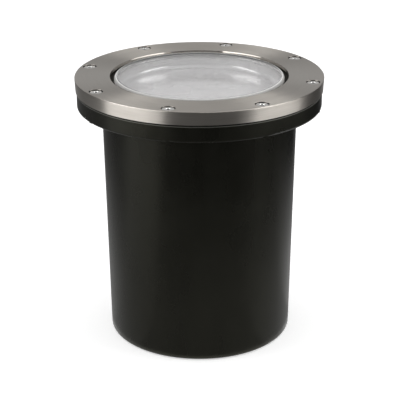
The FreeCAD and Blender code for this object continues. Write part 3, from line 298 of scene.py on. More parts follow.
@dataclass(frozen=True)
class TurnedSteel(Finish):
    """Stainless steel with fine circular brushing about the object's axis."""

    dark: Colour = (0.432, 0.404, 0.368)
    light: Colour = (0.540, 0.508, 0.468)
    # colour of the painted shade in the screw holes and of the painted shadow line along the ring's foot
    shaded: Colour = (0.030, 0.029, 0.027)
    roughness: tuple[float, float] = (0.30, 0.42)
    anisotropy: float = 0.92
    quarter_turn: float = 0.25
    mark_depth: float = 0.000010
    hole_inner: float = 107.5 * MM
    hole_outer: float = 123.6 * MM
    hole_depth: float = 0.35 * MM
    # height of the painted shadow line along the ring's foot
    foot_line: float = 0.55 * MM
    bore_radius: float = 89.7 * MM
    bore_share: float = 0.35
    fine_marks: tuple[float, float] = (5.0, 1500.0)
    broad_marks: tuple[float, float] = (3.0, 260.0)
    cloud_scale: float = 16.0
    shares: tuple[float, float, float] = (0.6, 0.25, 0.15)

    def paint(self, graph: Graph) -> None:
        """Builds lathe marks, highlights drawn out across them, painted shade in the screw holes, a painted
        shadow line along the ring's foot, and a smoother bore.
        """
        fine = graph.noise(1.0, 4.0, 0.62, graph.turned(*self.fine_marks))
        broad = graph.noise(1.0, 2.0, 0.5, graph.turned(*self.broad_marks))
        share = graph.blend((fine, broad, graph.noise(self.cloud_scale, 2.0)), self.shares)
        tangent = graph.add("ShaderNodeTangent", direction_type="RADIAL", axis="Z")
        plain = graph.tint(graph.spread(share), self.dark, self.light)
        bore = graph.math("LESS_THAN", graph.radius(), self.bore_radius)
        rough = graph.spread(share, *self.roughness)
        smoother = graph.range(bore, 1.0, self.bore_share)
        # the screw holes and the ring's foot are painted dark as shade
        graph.set(Base_Color=graph.tint(self.unbrushed(graph), plain, self.shaded),
                  Roughness=graph.math("MULTIPLY", rough, smoother), Metallic=1.0,
                  Anisotropic=self.anisotropy, Anisotropic_Rotation=self.quarter_turn,
                  Tangent=tangent.outputs[0], Normal=graph.bump(fine, self.mark_depth))

    def unbrushed(self, graph: Graph) -> Socket:
        """1 where shade is painted, in the ring's screw holes and along its foot, and 0 elsewhere."""
        low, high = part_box("trim_ring")
        radius = graph.radius()
        level = graph.split()[2]
        inside = graph.math("MULTIPLY", graph.math("GREATER_THAN", radius, self.hole_inner),
                            graph.math("LESS_THAN", radius, self.hole_outer))
        hole = graph.math("MULTIPLY", inside, graph.math("LESS_THAN", level, high.z - self.hole_depth))
        return graph.math("MAXIMUM", hole, graph.math("LESS_THAN", level, low.z + self.foot_line))


@dataclass(frozen=True)
class PlainSteel(Finish):
    """Bright metal with faint polishing marks, with painted shade in the recesses that a tool goes into."""

    dark: Colour = (0.50, 0.49, 0.47)
    light: Colour = (0.66, 0.65, 0.63)
    roughness: tuple[float, float] = (0.16, 0.30)
    grain: float = 900.0
    depth: float = 0.00001
    # colour of the painted shade in drive recesses
    shaded: Colour = (0.020, 0.020, 0.018)
    scratch: Place = (1.0, 0.35, 1.0)
    cloud_scale: float = 110.0

    def paint(self, graph: Graph) -> None:
        """Builds a fine scratched grain, with painted shade where the attribute of the recesses is 1."""
        scratches = graph.noise(self.grain, 3.0, 0.6, graph.stretch(self.scratch))
        cloud = graph.noise(self.cloud_scale, 2.0)
        recess = graph.add("ShaderNodeAttribute", attribute_name=RECESS_SHADE).outputs["Fac"]
        bright = graph.tint(graph.spread(cloud), self.dark, self.light)
        # faces cut by a drive take painted shade
        graph.set(Base_Color=graph.tint(recess, bright, self.shaded),
                  Roughness=graph.spread(scratches, *self.roughness), Metallic=1.0,
                  Normal=graph.bump(scratches, self.depth))


@dataclass(frozen=True)
class PlatedSheet(Finish):
    """Zinc plated sheet with a faint spangle and rolling marks."""

    dark: Colour = (0.42, 0.43, 0.45)
    light: Colour = (0.58, 0.59, 0.60)
    spangle_scale: float = 190.0
    rolling: Place = (90.0, 1500.0, 90.0)
    rolled_depth: float = 0.00002
    shares: tuple[float, float] = (0.55, 0.45)
    span: tuple[float, float] = (0.2, 0.8)

    def paint(self, graph: Graph) -> None:
        """Builds spangles over long rolling marks."""
        spangle = graph.cells(self.spangle_scale).outputs["Color"]
        rolled = graph.noise(1.0, 3.0, 0.6, graph.stretch(self.rolling))
        share = graph.blend((spangle, rolled), self.shares)
        graph.set(Base_Color=graph.tint(graph.range(share, 0.0, 1.0, *self.span), self.dark, self.light),
                  Roughness=graph.range(share, 0.26, 0.46, *self.span), Metallic=1.0,
                  Normal=graph.bump(rolled, self.rolled_depth))


@dataclass(frozen=True)
class CastMetal(Finish):
    """Die cast metal with a fine orange-peel skin."""

    dark: Colour = (0.50, 0.51, 0.52)
    light: Colour = (0.64, 0.65, 0.66)
    peel_scale: float = 420.0
    peel_depth: float = 0.00008
    grain_scale: float = 2600.0
    grain_depth: float = 0.00002

    def paint(self, graph: Graph) -> None:
        """Builds a coarse skin under a fine grain."""
        peel = graph.noise(self.peel_scale, 2.0)
        grain = graph.noise(self.grain_scale, 2.0)
        soft = graph.bump(peel, self.peel_depth)
        graph.set(Base_Color=graph.tint(graph.spread(peel), self.dark, self.light),
                  Roughness=graph.spread(grain, 0.38, 0.56), Metallic=1.0,
                  Normal=graph.bump(grain, self.grain_depth, soft))


@dataclass(frozen=True)
class Moulded(Finish):
    """Moulded plastic or rubber: a fine eroded grain with slow changes of gloss."""

    dark: Colour = (0.0038, 0.0038, 0.0028)
    light: Colour = (0.0075, 0.0075, 0.0058)
    roughness: tuple[float, float] = (0.24, 0.33)
    grain: float = 1300.0
    depth: float = 0.000012
    gloss: float = 0.36
    sheen: Colour = (1.0, 0.985, 0.80)
    flow: Place = (34.0, 34.0, 7.0)
    mottle_scale: float = 26.0
    shares: tuple[float, float] = (0.6, 0.4)

    def paint(self, graph: Graph) -> None:
        """Builds the grain, faint flow marks along the draw and a slow mottle."""
        grain = graph.noise(self.grain, 2.0, 0.6)
        flow = graph.noise(1.0, 3.0, 0.5, graph.stretch(self.flow))
        share = graph.blend((flow, graph.noise(self.mottle_scale, 3.0, 0.6)), self.shares)
        graph.set(Base_Color=self.colour(graph, graph.spread(share)),
                  Roughness=graph.spread(share, *self.roughness),
                  Specular_IOR_Level=self.gloss, Specular_Tint=(*self.sheen, 1.0),
                  Normal=graph.bump(grain, self.depth))

    def colour(self, graph: Graph, share: Socket) -> Socket:
        """Colour of the moulding, from dark to light by a share."""
        return graph.tint(share, self.dark, self.light)


@dataclass(frozen=True)
class Glass(Finish):
    """Clear or ribbed glass with faint wiping marks."""

    colour: Colour = (0.985, 0.982, 0.984)
    roughness: tuple[float, float] = (0.0, 0.0)
    ripple: float = 0.000002
    ground_from: float = 1.0
    ground_over: float = 0.5 * MM
    ground_width: float = 1.6 * MM
    # colour of the pale line at the ground edge, a painted highlight
    bevel: Colour = (0.93, 0.93, 0.92)
    ground: Colour = (0.50, 0.495, 0.485)
    lamp_light: Colour = (0.86, 0.855, 0.855)
    wiping: Place = (22.0, 60.0, 22.0)
    wiped_span: tuple[float, float] = (0.42, 0.75)
    smear_scale: float = 55.0
    matt_clear: float = 0.25
    matt_roughness: float = 0.4
    ior: float = 1.5

    def paint(self, graph: Graph) -> None:
        """Builds the glass, which lets most lamp light straight through to what lies behind it.

        Outside the radius given by ground_from the edge is ground matt: a pale line, which is a painted
        highlight, then greyer.
        """
        wiped = graph.noise(1.0, 3.0, 0.6, graph.stretch(self.wiping))
        smear = graph.noise(self.smear_scale, 2.0)
        bevelled = self.ground_from + self.ground_over
        edge = graph.range(graph.radius(), 0.0, 1.0, self.ground_from, bevelled)
        polished = graph.range(wiped, *self.roughness, *self.wiped_span)
        outside = graph.range(graph.radius(), 0.0, 1.0, bevelled, self.ground_from + self.ground_width)
        # the pale line at the ground edge is a painted highlight
        pale = graph.tint(edge, self.colour, self.bevel)
        graph.set(Base_Color=graph.tint(outside, pale, self.ground), IOR=self.ior,
                  Transmission_Weight=graph.range(edge, 1.0, self.matt_clear),
                  Roughness=graph.math("ADD", polished, graph.range(edge, 0.0, self.matt_roughness)),
                  Normal=graph.bump(smear, self.ripple))
        clear = graph.add("ShaderNodeBsdfTransparent", {"Color": (*self.lamp_light, 1.0)})
        shadow = graph.add("ShaderNodeLightPath").outputs["Is Shadow Ray"]
        mix = graph.add("ShaderNodeMixShader", {
            0: shadow, 1: graph.shader.outputs["BSDF"], 2: clear.outputs["BSDF"]})
        graph.join(mix.outputs[0], graph.output.inputs["Surface"])


@dataclass(frozen=True)
class Frosted(Finish):
    """Sandblasted glass that scatters the light: pale, with a satin fused skin."""

    dark: Colour = (0.352, 0.345, 0.349)
    light: Colour = (0.37, 0.363, 0.367)
    # colour of the painted shade up the dish's wall
    side: Colour = (0.29, 0.283, 0.28)
    side_from: float = 251.0 * MM
    side_to: float = 255.0 * MM
    roughness: tuple[float, float] = (0.24, 0.30)
    grain_scale: float = 1100.0
    grain_depth: float = 0.0000015
    cloud_scale: float = 30.0
    ior: float = 1.65
    coat_ior: float = 1.9
    coat_roughness: float = 0.12

    def paint(self, graph: Graph) -> None:
        """Builds a sandblasted grain over a pale body, with painted shade up the dish's wall."""
        grain = graph.noise(self.grain_scale, 2.0, 0.6)
        cloud = graph.noise(self.cloud_scale, 2.0)
        plain = graph.tint(graph.spread(cloud), self.dark, self.light)
        # the dish's wall, from side_from to side_to, is painted darker as shade
        side = graph.range(graph.split()[2], 0.0, 1.0, self.side_from, self.side_to)
        graph.set(Base_Color=graph.tint(side, plain, self.side),
                  Roughness=graph.spread(cloud, *self.roughness), IOR=self.ior, Specular_IOR_Level=1.0,
                  Coat_Weight=1.0, Coat_IOR=self.coat_ior, Coat_Roughness=self.coat_roughness,
                  Normal=graph.bump(grain, self.grain_depth))


@dataclass(frozen=True)
class Glazed(Finish):
    """Glazed ceramic with small iron specks."""

    speck: Colour = (0.50, 0.44, 0.36)
    body: Colour = (0.82, 0.79, 0.73)
    speck_scale: float = 620.0
    speck_span: tuple[float, float] = (0.10, 0.22)
    ripple_scale: float = 160.0
    ripple_depth: float = 0.00006

    def paint(self, graph: Graph) -> None:
        """Builds specks under a smooth glaze."""
        cells = graph.cells(self.speck_scale).outputs["Distance"]
        specks = graph.range(cells, 0.0, 1.0, *self.speck_span)
        ripple = graph.noise(self.ripple_scale, 2.0)
        graph.set(Base_Color=graph.tint(specks, self.speck, self.body),
                  Roughness=graph.spread(ripple, 0.14, 0.26),
                  Coat_Weight=0.5, Coat_Roughness=0.08, Normal=graph.bump(ripple, self.ripple_depth))


@dataclass(frozen=True)
class Silvered(Finish):
    """Vacuum silvered glass with soft peened facets."""

    dark: Colour = (0.80, 0.80, 0.81)
    light: Colour = (0.90, 0.90, 0.91)
    facet_scale: float = 210.0
    facet_depth: float = 0.00025
    haze_scale: float = 90.0

    def paint(self, graph: Graph) -> None:
        """Builds shallow facets on a mirror."""
        facets = graph.cells(self.facet_scale).outputs["Distance"]
        haze = graph.noise(self.haze_scale)
        graph.set(Base_Color=graph.tint(haze, self.dark, self.light), Metallic=1.0,
                  Roughness=graph.spread(haze, 0.06, 0.16), Normal=graph.bump(facets, self.facet_depth))


@dataclass(frozen=True)
class HousingComposite(Moulded):
    """The housing's moulded composite, with a painted highlight along the flange's upper edge."""

    # colour of the painted highlight along the flange's upper edge
    worn: Colour = (0.085, 0.085, 0.078)
    worn_height: float = 0.95 * MM
    worn_radius: float = 122.9 * MM

    def colour(self, graph: Graph, share: Socket) -> Socket:
        """Colour of the moulding with its painted highlight along the flange's upper edge."""
        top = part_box("well_housing")[1].z
        # the flange's upper edge gets a painted highlight
        high = graph.math("GREATER_THAN", graph.split()[2], top - self.worn_height)
        edge = graph.math("MULTIPLY", high, graph.math("GREATER_THAN", graph.radius(), self.worn_radius))
        return graph.tint(edge, super().colour(graph, share), self.worn)


class Slot(Enum):
    """The record's material slots, each with its finish."""

    BLACK_COMPOSITE = HousingComposite("black_composite")
    BRUSHED_STAINLESS = TurnedSteel("brushed_stainless")
    SCREW_STAINLESS = PlainSteel("screw_stainless", (0.70, 0.69, 0.67), (0.84, 0.83, 0.81), (0.26, 0.40))
    CLEAR_GLASS = Glass("clear_glass", ground_from=82.7 * MM)
    FROSTED_GLASS = Frosted("frosted_glass")
    BLACK_RUBBER = Moulded("black_rubber", (0.003, 0.003, 0.003), (0.006, 0.006, 0.006), (0.62, 0.78),
                           1800.0, 0.00002, 0.2)
    BRASS = PlainSteel("brass", (0.56, 0.40, 0.17), (0.76, 0.57, 0.28), (0.20, 0.36))
    ZINC_STEEL = PlatedSheet("zinc_steel")
    CRADLE_ALUMINIUM = CastMetal("cradle_aluminium")
    WHITE_NYLON = Moulded("white_nylon", (0.70, 0.68, 0.62), (0.78, 0.76, 0.70), (0.34, 0.46), 1500.0)
    KNOB_PLASTIC = Moulded("knob_plastic", (0.012, 0.012, 0.012), (0.022, 0.022, 0.021), (0.34, 0.48),
                           1600.0, 0.00003)
    TERMINAL_PLASTIC = Moulded("terminal_plastic", (0.66, 0.64, 0.57), (0.74, 0.72, 0.66), (0.3, 0.42))
    SPRING_STEEL = PlainSteel("spring_steel", (0.46, 0.47, 0.49), (0.60, 0.61, 0.62), (0.14, 0.26), 700.0)
    LAMP_GLASS = Glass("lamp_glass", (0.93, 0.95, 0.945), (0.05, 0.22), 0.00002)
    REFLECTOR_SILVER = Silvered("reflector_silver")
    LAMP_BASE_METAL = CastMetal("lamp_base_metal", (0.52, 0.50, 0.46), (0.70, 0.68, 0.63))
    CERAMIC = Glazed("ceramic")
    PLUG_PLASTIC = Moulded("plug_plastic", (0.016, 0.016, 0.016), (0.030, 0.030, 0.029), (0.4, 0.55))


def finish_of(node: str) -> Finish:
    """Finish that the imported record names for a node.

    Args:
        node: Name of a CAD node.

    Returns:
        The finish of its material slot.
    """
    slots = {part["node"]: part["material_slot"] for part in frame["record"]["subparts"]}
    return Slot[slots[node].upper()].value


def dress_carried_nodes() -> None:
    """Gives every CAD node the material of its slot."""
    for name, piece in frame["nodes"].items():
        material = finish_of(name).material()
        if not piece.material_slots:
            piece.data.materials.append(material)
        for slot in piece.material_slots:
            slot.material = material
        log.info("dressed %s", name)


# ---------------------------------------------------------------- geometry nodes
class GeometryTree(Nodes):
    """Geometry Nodes tree with named inputs, ending in Realize Instances and Set Material."""

    def __init__(self, name: str, inputs: dict[str, str]) -> None:
        """Starts the tree.

        Args:
            name: Name of the tree.
            inputs: Kind of each named input, such as "NodeSocketFloat".
        """
        super().__init__(bpy.data.node_groups.new(name, "GeometryNodeTree"))
        face = self.tree.interface
        face.new_socket("Geometry", in_out="INPUT", socket_type="NodeSocketGeometry")
        self.keys = {}
        for label, kind in {**inputs, "Material": "NodeSocketMaterial"}.items():
            self.keys[label] = face.new_socket(label, in_out="INPUT", socket_type=kind).identifier
        face.new_socket("Geometry", in_out="OUTPUT", socket_type="NodeSocketGeometry")
        self.source = self.tree.nodes.new("NodeGroupInput")
        self.target = self.tree.nodes.new("NodeGroupOutput")

    def given(self, label: str) -> Socket:
        """Socket of a named input."""
        return self.source.outputs[label]

    def close(self, geometry: Socket) -> None:
        """Ends the tree with realized geometry in the given material.

        Args:
            geometry: What the tree has made.
        """
        real = self.add("GeometryNodeRealizeInstances", {"Geometry": geometry})
        painted = self.add("GeometryNodeSetMaterial", {
            "Geometry": real.outputs["Geometry"], "Material": self.given("Material")})
        self.join(painted.outputs["Geometry"], self.target.inputs[0])

    def bake(self, base: bpy.types.Object, values: dict[str, Any], name: str) -> bpy.types.Object:
        """Runs the tree on an object and keeps the result as a plain mesh.

        Args:
            base: Object whose mesh goes in. It is removed.
            values: Value of each named input.
            name: Name of the piece to make.

        Returns:
            The piece, with no modifier, at the origin.
        """
        modifier = base.modifiers.new("nodes", "NODES")
        modifier.node_group = self.tree
        for label, value in values.items():
            modifier[self.keys[label]] = value
        depsgraph = bpy.context.evaluated_depsgraph_get()
        mesh = bpy.data.meshes.new_from_object(base.evaluated_get(depsgraph))
        base.modifiers.remove(modifier)
        bpy.data.objects.remove(base)
        mesh.name = name
        return add_object(name, mesh)


def add_object(name: str, mesh: bpy.types.Mesh) -> bpy.types.Object:
    """Adds a mesh to the scene as an object at the origin."""
    made = bpy.data.objects.new(name, mesh)
    bpy.context.scene.collection.objects.link(made)
    return made


def stand_for(piece: bpy.types.Object, node: str) -> bpy.types.Object:
    """Puts a piece in place of a CAD node, on the node's body.

    Args:
        piece: The finished piece.
        node: Name of the CAD node it stands for.

    Returns:
        The piece.
    """
    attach(piece, frame["nodes"][node]["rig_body"])
    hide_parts(node)
    log.info("%s stands for %s, %d faces", piece.name, node, len(piece.data.polygons))
    return piece


def pattern_tree() -> GeometryTree:
    """Tree that sets a copy of one fastener on every point, along the point's aim and at its own turn.

    Returns:
        The tree, with inputs Fastener and Seed.
    """
    made = GeometryTree("fastener_pattern", {"Fastener": "NodeSocketObject", "Seed": "NodeSocketInt"})
    aim = made.add("GeometryNodeInputNamedAttribute", {"Name": AIM}, data_type="FLOAT_VECTOR")
    facing = made.add("FunctionNodeAlignRotationToVector", {"Vector": aim.outputs["Attribute"]}, axis="Z")
    turn = made.add("FunctionNodeRandomValue", {
        "Seed": made.given("Seed"), 2: 0.0, 3: math.tau}, data_type="FLOAT")    # least and most of a turn
    spin = made.add("FunctionNodeAxisAngleToRotation", {"Axis": UP, "Angle": turn.outputs[1]})
    whole = made.add("FunctionNodeRotateRotation", {
        0: facing.outputs[0], 1: spin.outputs[0]}, rotation_space="LOCAL")
    single = made.add("GeometryNodeObjectInfo", {"Object": made.given("Fastener")},
                      transform_space="ORIGINAL")
    points = made.add("GeometryNodeMeshToPoints", {"Mesh": made.given("Geometry")})
    copies = made.add("GeometryNodeInstanceOnPoints", {
        "Points": points.outputs[0], "Instance": single.outputs["Geometry"], "Rotation": whole.outputs[0]})
    made.close(copies.outputs["Instances"])
    return made


def thread_tree() -> GeometryTree:
    """Tree that winds a rounded screw thread round the upright axis.

    Returns:
        The tree, with inputs Radius, Pitch, Turns and Crest.
    """
    sizes = ("Radius", "Pitch", "Turns", "Crest")
    made = GeometryTree("screw_thread", {label: "NodeSocketFloat" for label in sizes})
    height = made.math("MULTIPLY", made.given("Pitch"), made.given("Turns"))
    spiral = made.add("GeometryNodeCurveSpiral", {
        "Resolution": SPIRAL_STEPS, "Rotations": made.given("Turns"),
        "Start Radius": made.given("Radius"), "End Radius": made.given("Radius"), "Height": height})
    section = made.add("GeometryNodeCurvePrimitiveCircle", {
        "Resolution": THREAD_SIDES, "Radius": made.given("Crest")})
    wound = made.add("GeometryNodeCurveToMesh", {
        "Curve": spiral.outputs[0], "Profile Curve": section.outputs[0], "Fill Caps": True})
    made.close(wound.outputs[0])
    return made


# ---------------------------------------------------------------- fasteners
class Head(Enum):
    """Ways that a screw's head is made and driven."""

    FLAT_HEXAGON = "flat head with a hexagon socket"
    PAN_CROSS = "pan head with a cross recess"
    CHEESE_SLOT = "cylindrical head with a slot"


def lathe(profile: Profile, steps: int, closed: bool = False) -> bmesh.types.BMesh:
    """Closed solid of revolution about Z.

    Args:
        profile: Radius and height from the axis round to the axis again, or round a ring's section.
        steps: Segments of a turn.
        closed: Whether the profile's last point joins its first, as a ring's section does.

    Returns:
        The solid's mesh, faces outwards.
    """
    mesh = bmesh.new()
    rings = []
    for radius, level in profile:
        if radius < 1e-7:
            rings.append([mesh.verts.new((0.0, 0.0, level))])
            continue
        ring = []
        for step in range(steps):
            angle = math.tau * step / steps
            ring.append(mesh.verts.new((radius * math.cos(angle), radius * math.sin(angle), level)))
        rings.append(ring)
    for low, high in zip(rings, rings[1:] + (rings[:1] if closed else [])):
        for step in range(steps):
            corners = [low[step % len(low)], low[(step + 1) % len(low)],
                       high[(step + 1) % len(high)], high[step % len(high)]]
            different = list(dict.fromkeys(corners))
            if len(different) > 2:
                mesh.faces.new(different)
    bmesh.ops.recalc_face_normals(mesh, faces=mesh.faces)
    return mesh


def rounded(corner: tuple[float, float], radius: float, start: float, end: float, steps: int) -> Profile:
    """Points of an arc for a profile.

    Args:
        corner: Centre of the arc, as radius and height.
        radius: Radius of the arc.
        start: First angle in degrees, 0 outwards and 90 upwards.
        end: Last angle in degrees.
        steps: Segments of the arc.

    Returns:
        Points from start to end.
    """
    points = []
    for step in range(steps + 1):
        angle = math.radians(start + (end - start) * step / steps)
        points.append((corner[0] + radius * math.cos(angle), corner[1] + radius * math.sin(angle)))
    return points


def shade(mesh: bpy.types.Mesh) -> None:
    """Smooth shading that keeps the sharp edges."""
    mesh.shade_smooth()
    mesh.set_sharp_from_angle(angle=math.radians(SHARP_ANGLE))


def cut_with(target: bpy.types.Object, cutters: Iterable[bpy.types.Object]) -> None:
    """Cuts closed objects out of another and applies the result.

    Args:
        target: Object to cut.
        cutters: Objects to cut out. They are removed.
    """
    for cutter in cutters:
        modifier = target.modifiers.new("cut", "BOOLEAN")
        modifier.operation = "DIFFERENCE"
        modifier.solver = "EXACT"
        modifier.object = cutter
        depsgraph = bpy.context.evaluated_depsgraph_get()
        mesh = bpy.data.meshes.new_from_object(target.evaluated_get(depsgraph))
        target.modifiers.remove(modifier)
        target.data = mesh
        bpy.data.objects.remove(cutter)


def solid_from(mesh: bmesh.types.BMesh, name: str, recess: float = 0.0) -> bpy.types.Object:
    """Turns a bmesh into an object and frees it.

    Args:
        mesh: The closed form.
        name: Name of the object.
        recess: How much painted shade a cut made with this form leaves on the finish, 0 to 1.

    Returns:
        The object.
    """
    data = bpy.data.meshes.new(name)
    mesh.to_mesh(data)
    mesh.free()
    marks = data.attributes.new(RECESS_SHADE, "FLOAT", "FACE")
    for mark in marks.data:
        mark.value = recess
    return add_object(name, data)


@dataclass
class Screw:
    """One screw, drawn with its axis on Z and the top of its head at zero.

    A length of 0 is filled in from the height of the CAD node.
    """

    head: Head
    head_radius: float
    head_height: float
    shank_radius: float
    pitch: float
    drive: float
    drive_depth: float
    length: float = 0.0
    crown: float = 0.10 * MM
    shoulder: float = 0.75 * MM
    land: float = 0.9 * MM
    straight: float = 0.5 * MM
    pan_dome: float = 0.62
    cheese_dome: float = 0.12
    socket_cone: float = 0.45
    socket_lead: float = 1.16
    slot_reach: float = 2.4
    cross_reach: float = 1.05
    cross_tip: float = 0.5
    clear: float = 1.0 * MM
    tip: float = 0.6 * MM
    steps: int = 40
    thread_share: float = 0.75
    core_share: float = 0.86

    def head_profile(self) -> Profile:
        """Profile of the head, from the middle of its top round to the shank."""
        if self.head is Head.FLAT_HEXAGON:
            neck = -self.straight - (self.head_radius - self.shank_radius)
            corner = (self.head_radius - self.shoulder, -self.crown - self.shoulder)
            rim = rounded(corner, self.shoulder, 90.0, 8.0, 7)
            return [(0.0, 0.0), *rim, (self.head_radius, -self.land), (self.shank_radius, neck)]
        dome = self.head_height * (self.pan_dome if self.head is Head.PAN_CROSS else self.cheese_dome)
        rim = rounded((self.head_radius - dome, -dome), dome, 90.0, 10.0, 8)
        foot = -self.head_height
        return [(0.0, 0.0), *rim, (self.head_radius, -dome), (self.head_radius, foot),
                (self.shank_radius, foot)]

    def drive_cutters(self) -> list[bpy.types.Object]:
        """Closed forms of the drive's recess."""
        if self.head is Head.FLAT_HEXAGON:
            reach = self.drive / math.sqrt(3.0)
            bottom = -self.drive_depth - reach * self.socket_cone
            hexagon = lathe([(0.0, self.clear), (reach, self.clear), (reach, -self.drive_depth),
                             (0.0, bottom)], 6)
            chamfer = reach * self.socket_lead
            lead = lathe([(0.0, self.clear), (chamfer + self.clear, self.clear), (0.0, -chamfer)],
                         self.steps)
            # the hexagon socket's faces take painted shade, its lead's none
            return [solid_from(hexagon, "hexagon", 1.0), solid_from(lead, "lead")]
        if self.head is Head.CHEESE_SLOT:
            return [self.bar(self.head_radius * self.slot_reach, self.drive, 0.0)]
        arm = self.head_radius * self.cross_reach
        return [self.bar(arm, self.drive * self.cross_tip, turn) for turn in (0.0, math.pi / 2.0)]

    def bar(self, length: float, tip: float, turn: float) -> bpy.types.Object:
        """Bar of the drive's width that cuts a slot or one arm of a cross.

        Args:
            length: Length at its top.
            tip: Width at its bottom, where the length narrows alike.
            turn: Turn about Z, in radians.

        Returns:
            The bar.
        """
        mesh = bmesh.new()
        corners = []
        for level, share in ((self.clear, 1.0), (-self.drive_depth, tip / self.drive)):
            for x, y in ((-1, -1), (1, -1), (1, 1), (-1, 1)):
                corners.append(mesh.verts.new((x * length / 2.0 * share,
                                               y * self.drive / 2.0 * share, level)))
        sides = ((3, 2, 1, 0), (4, 5, 6, 7), (0, 1, 5, 4), (1, 2, 6, 5), (2, 3, 7, 6), (3, 0, 4, 7))
        for face in sides:
            mesh.faces.new([corners[index] for index in face])
        bmesh.ops.recalc_face_normals(mesh, faces=mesh.faces)
        bmesh.ops.rotate(mesh, verts=mesh.verts, matrix=Matrix.Rotation(turn, 3, "Z"))
        # the slot's or cross arm's faces take painted shade
        return solid_from(mesh, "bar", 1.0)

    def build(self, name: str, thread: GeometryTree) -> bpy.types.Object:
        """Makes the screw with its recess and wound thread.

        Args:
            name: Name of the object.
            thread: Tree that winds the thread.

        Returns:
            The screw as a plain mesh object.
        """
        core = self.shank_radius * self.core_share
        threaded = self.length * self.thread_share
        shoulder = -self.length + threaded
        profile = self.head_profile()
        profile += [(self.shank_radius, shoulder + self.tip), (core, shoulder),
                    (core, -self.length + self.tip), (core - self.tip, -self.length), (0.0, -self.length)]
        body = solid_from(lathe(profile, self.steps), name)
        cut_with(body, self.drive_cutters())
        crest = self.shank_radius - core
        turns = (threaded - 2.0 * self.tip) / self.pitch
        wound = thread.bake(add_object("seed", bpy.data.meshes.new("seed")), {
            "Radius": core, "Pitch": self.pitch, "Turns": turns, "Crest": crest}, "wound")
        wound.data.transform(Matrix.Translation((0.0, 0.0, -self.length + self.tip)))
        joined = bmesh.new()
        joined.from_mesh(body.data)
        joined.from_mesh(wound.data)
        joined.to_mesh(body.data)
        joined.free()
        bpy.data.objects.remove(wound)
        shade(body.data)
        return body


@dataclass
class FastenerSet:
    """Like screws of one CAD node, rebuilt with their drives and threads at the same places."""

    node: str
    screw: Screw
    aim: Callable[[Vector], Vector]
    seed: int

    def places(self) -> list[tuple[Vector, Vector]]:
        """Top and outward direction of each screw, read from the CAD node."""
        merged = bmesh.new()
        merged.from_mesh(frame["nodes"][self.node].data)
        bmesh.ops.remove_doubles(merged, verts=merged.verts, dist=MERGE_DISTANCE)
        found = []
        unseen = set(merged.verts)
        while unseen:
            island = {unseen.pop()}
            border = list(island)
            while border:
                for edge in border.pop().link_edges:
                    for vert in edge.verts:
                        if vert in unseen:
                            unseen.discard(vert)
                            island.add(vert)
                            border.append(vert)
            low = Vector([min(vert.co[axis] for vert in island) for axis in range(3)])
            high = Vector([max(vert.co[axis] for vert in island) for axis in range(3)])
            middle = (low + high) / 2.0
            aim = self.aim(middle)
            top = max((vert.co - middle).dot(aim) for vert in island)
            found.append((middle + aim * top, aim))
        merged.free()
        return sorted(found, key=lambda place: tuple(round(value, 6) for value in place[0]))

    def build(self, pattern: GeometryTree, thread: GeometryTree) -> bpy.types.Object:
        """Makes the whole set as one piece in place of the CAD node.

        Args:
            pattern: Tree that copies the screw to its places.
            thread: Tree that winds a thread.

        Returns:
            The piece.
        """
        single = self.screw.build(self.node + "_single", thread)
        places = self.places()
        spots = bpy.data.meshes.new(self.node + "_spots")
        spots.from_pydata([tuple(place) for place, _ in places], [], [])
        aims = spots.attributes.new(AIM, "FLOAT_VECTOR", "POINT")
        for index, (_, aim) in enumerate(places):
            aims.data[index].vector = aim
        made = pattern.bake(add_object(self.node + "_spots", spots), {
            "Fastener": single, "Seed": self.seed, "Material": finish_of(self.node).material()},
            self.node + "_detailed")
        bpy.data.objects.remove(single)
        return stand_for(made, self.node)


@dataclass
class BoreDraft:
    """Polished wedge inside the ring's bore, which leans outwards to the top as a turned edge does."""

    node: str = "trim_ring"
    bore_radius: float = 89.5 * MM
    inset: float = 0.55 * MM
    height: float = 2.9 * MM
    land: float = 0.05 * MM
    steps: int = 192

    def build(self) -> bpy.types.Object:
        """Makes the wedge, which moves with the ring.

        Returns:
            The wedge.
        """
        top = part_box(self.node)[1].z - self.land
        foot = top - self.height
        outer = self.bore_radius + self.land
        corners = [(outer, foot), (self.bore_radius - self.inset, foot), (self.bore_radius, top),
                   (outer, top)]
        wedge = solid_from(lathe(corners, self.steps, closed=True), "trim_ring_bore")
        shade(wedge.data)
        finish = finish_of(self.node)
        wedge.data.materials.append(finish.material())
        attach(wedge, frame["nodes"][self.node]["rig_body"])
        log.info("made %s, %d faces", wedge.name, len(wedge.data.polygons))
        return wedge


def straight_up(_: Vector) -> Vector:
    """Aim of screws that stand upright."""
    return UP.copy()


def downwards(_: Vector) -> Vector:
    """Aim of screws whose heads face down."""
    return -UP


def inwards(place: Vector) -> Vector:
    """Aim of screws along X whose heads face the axis."""
    return Vector((-math.copysign(1.0, place.x), 0.0, 0.0))


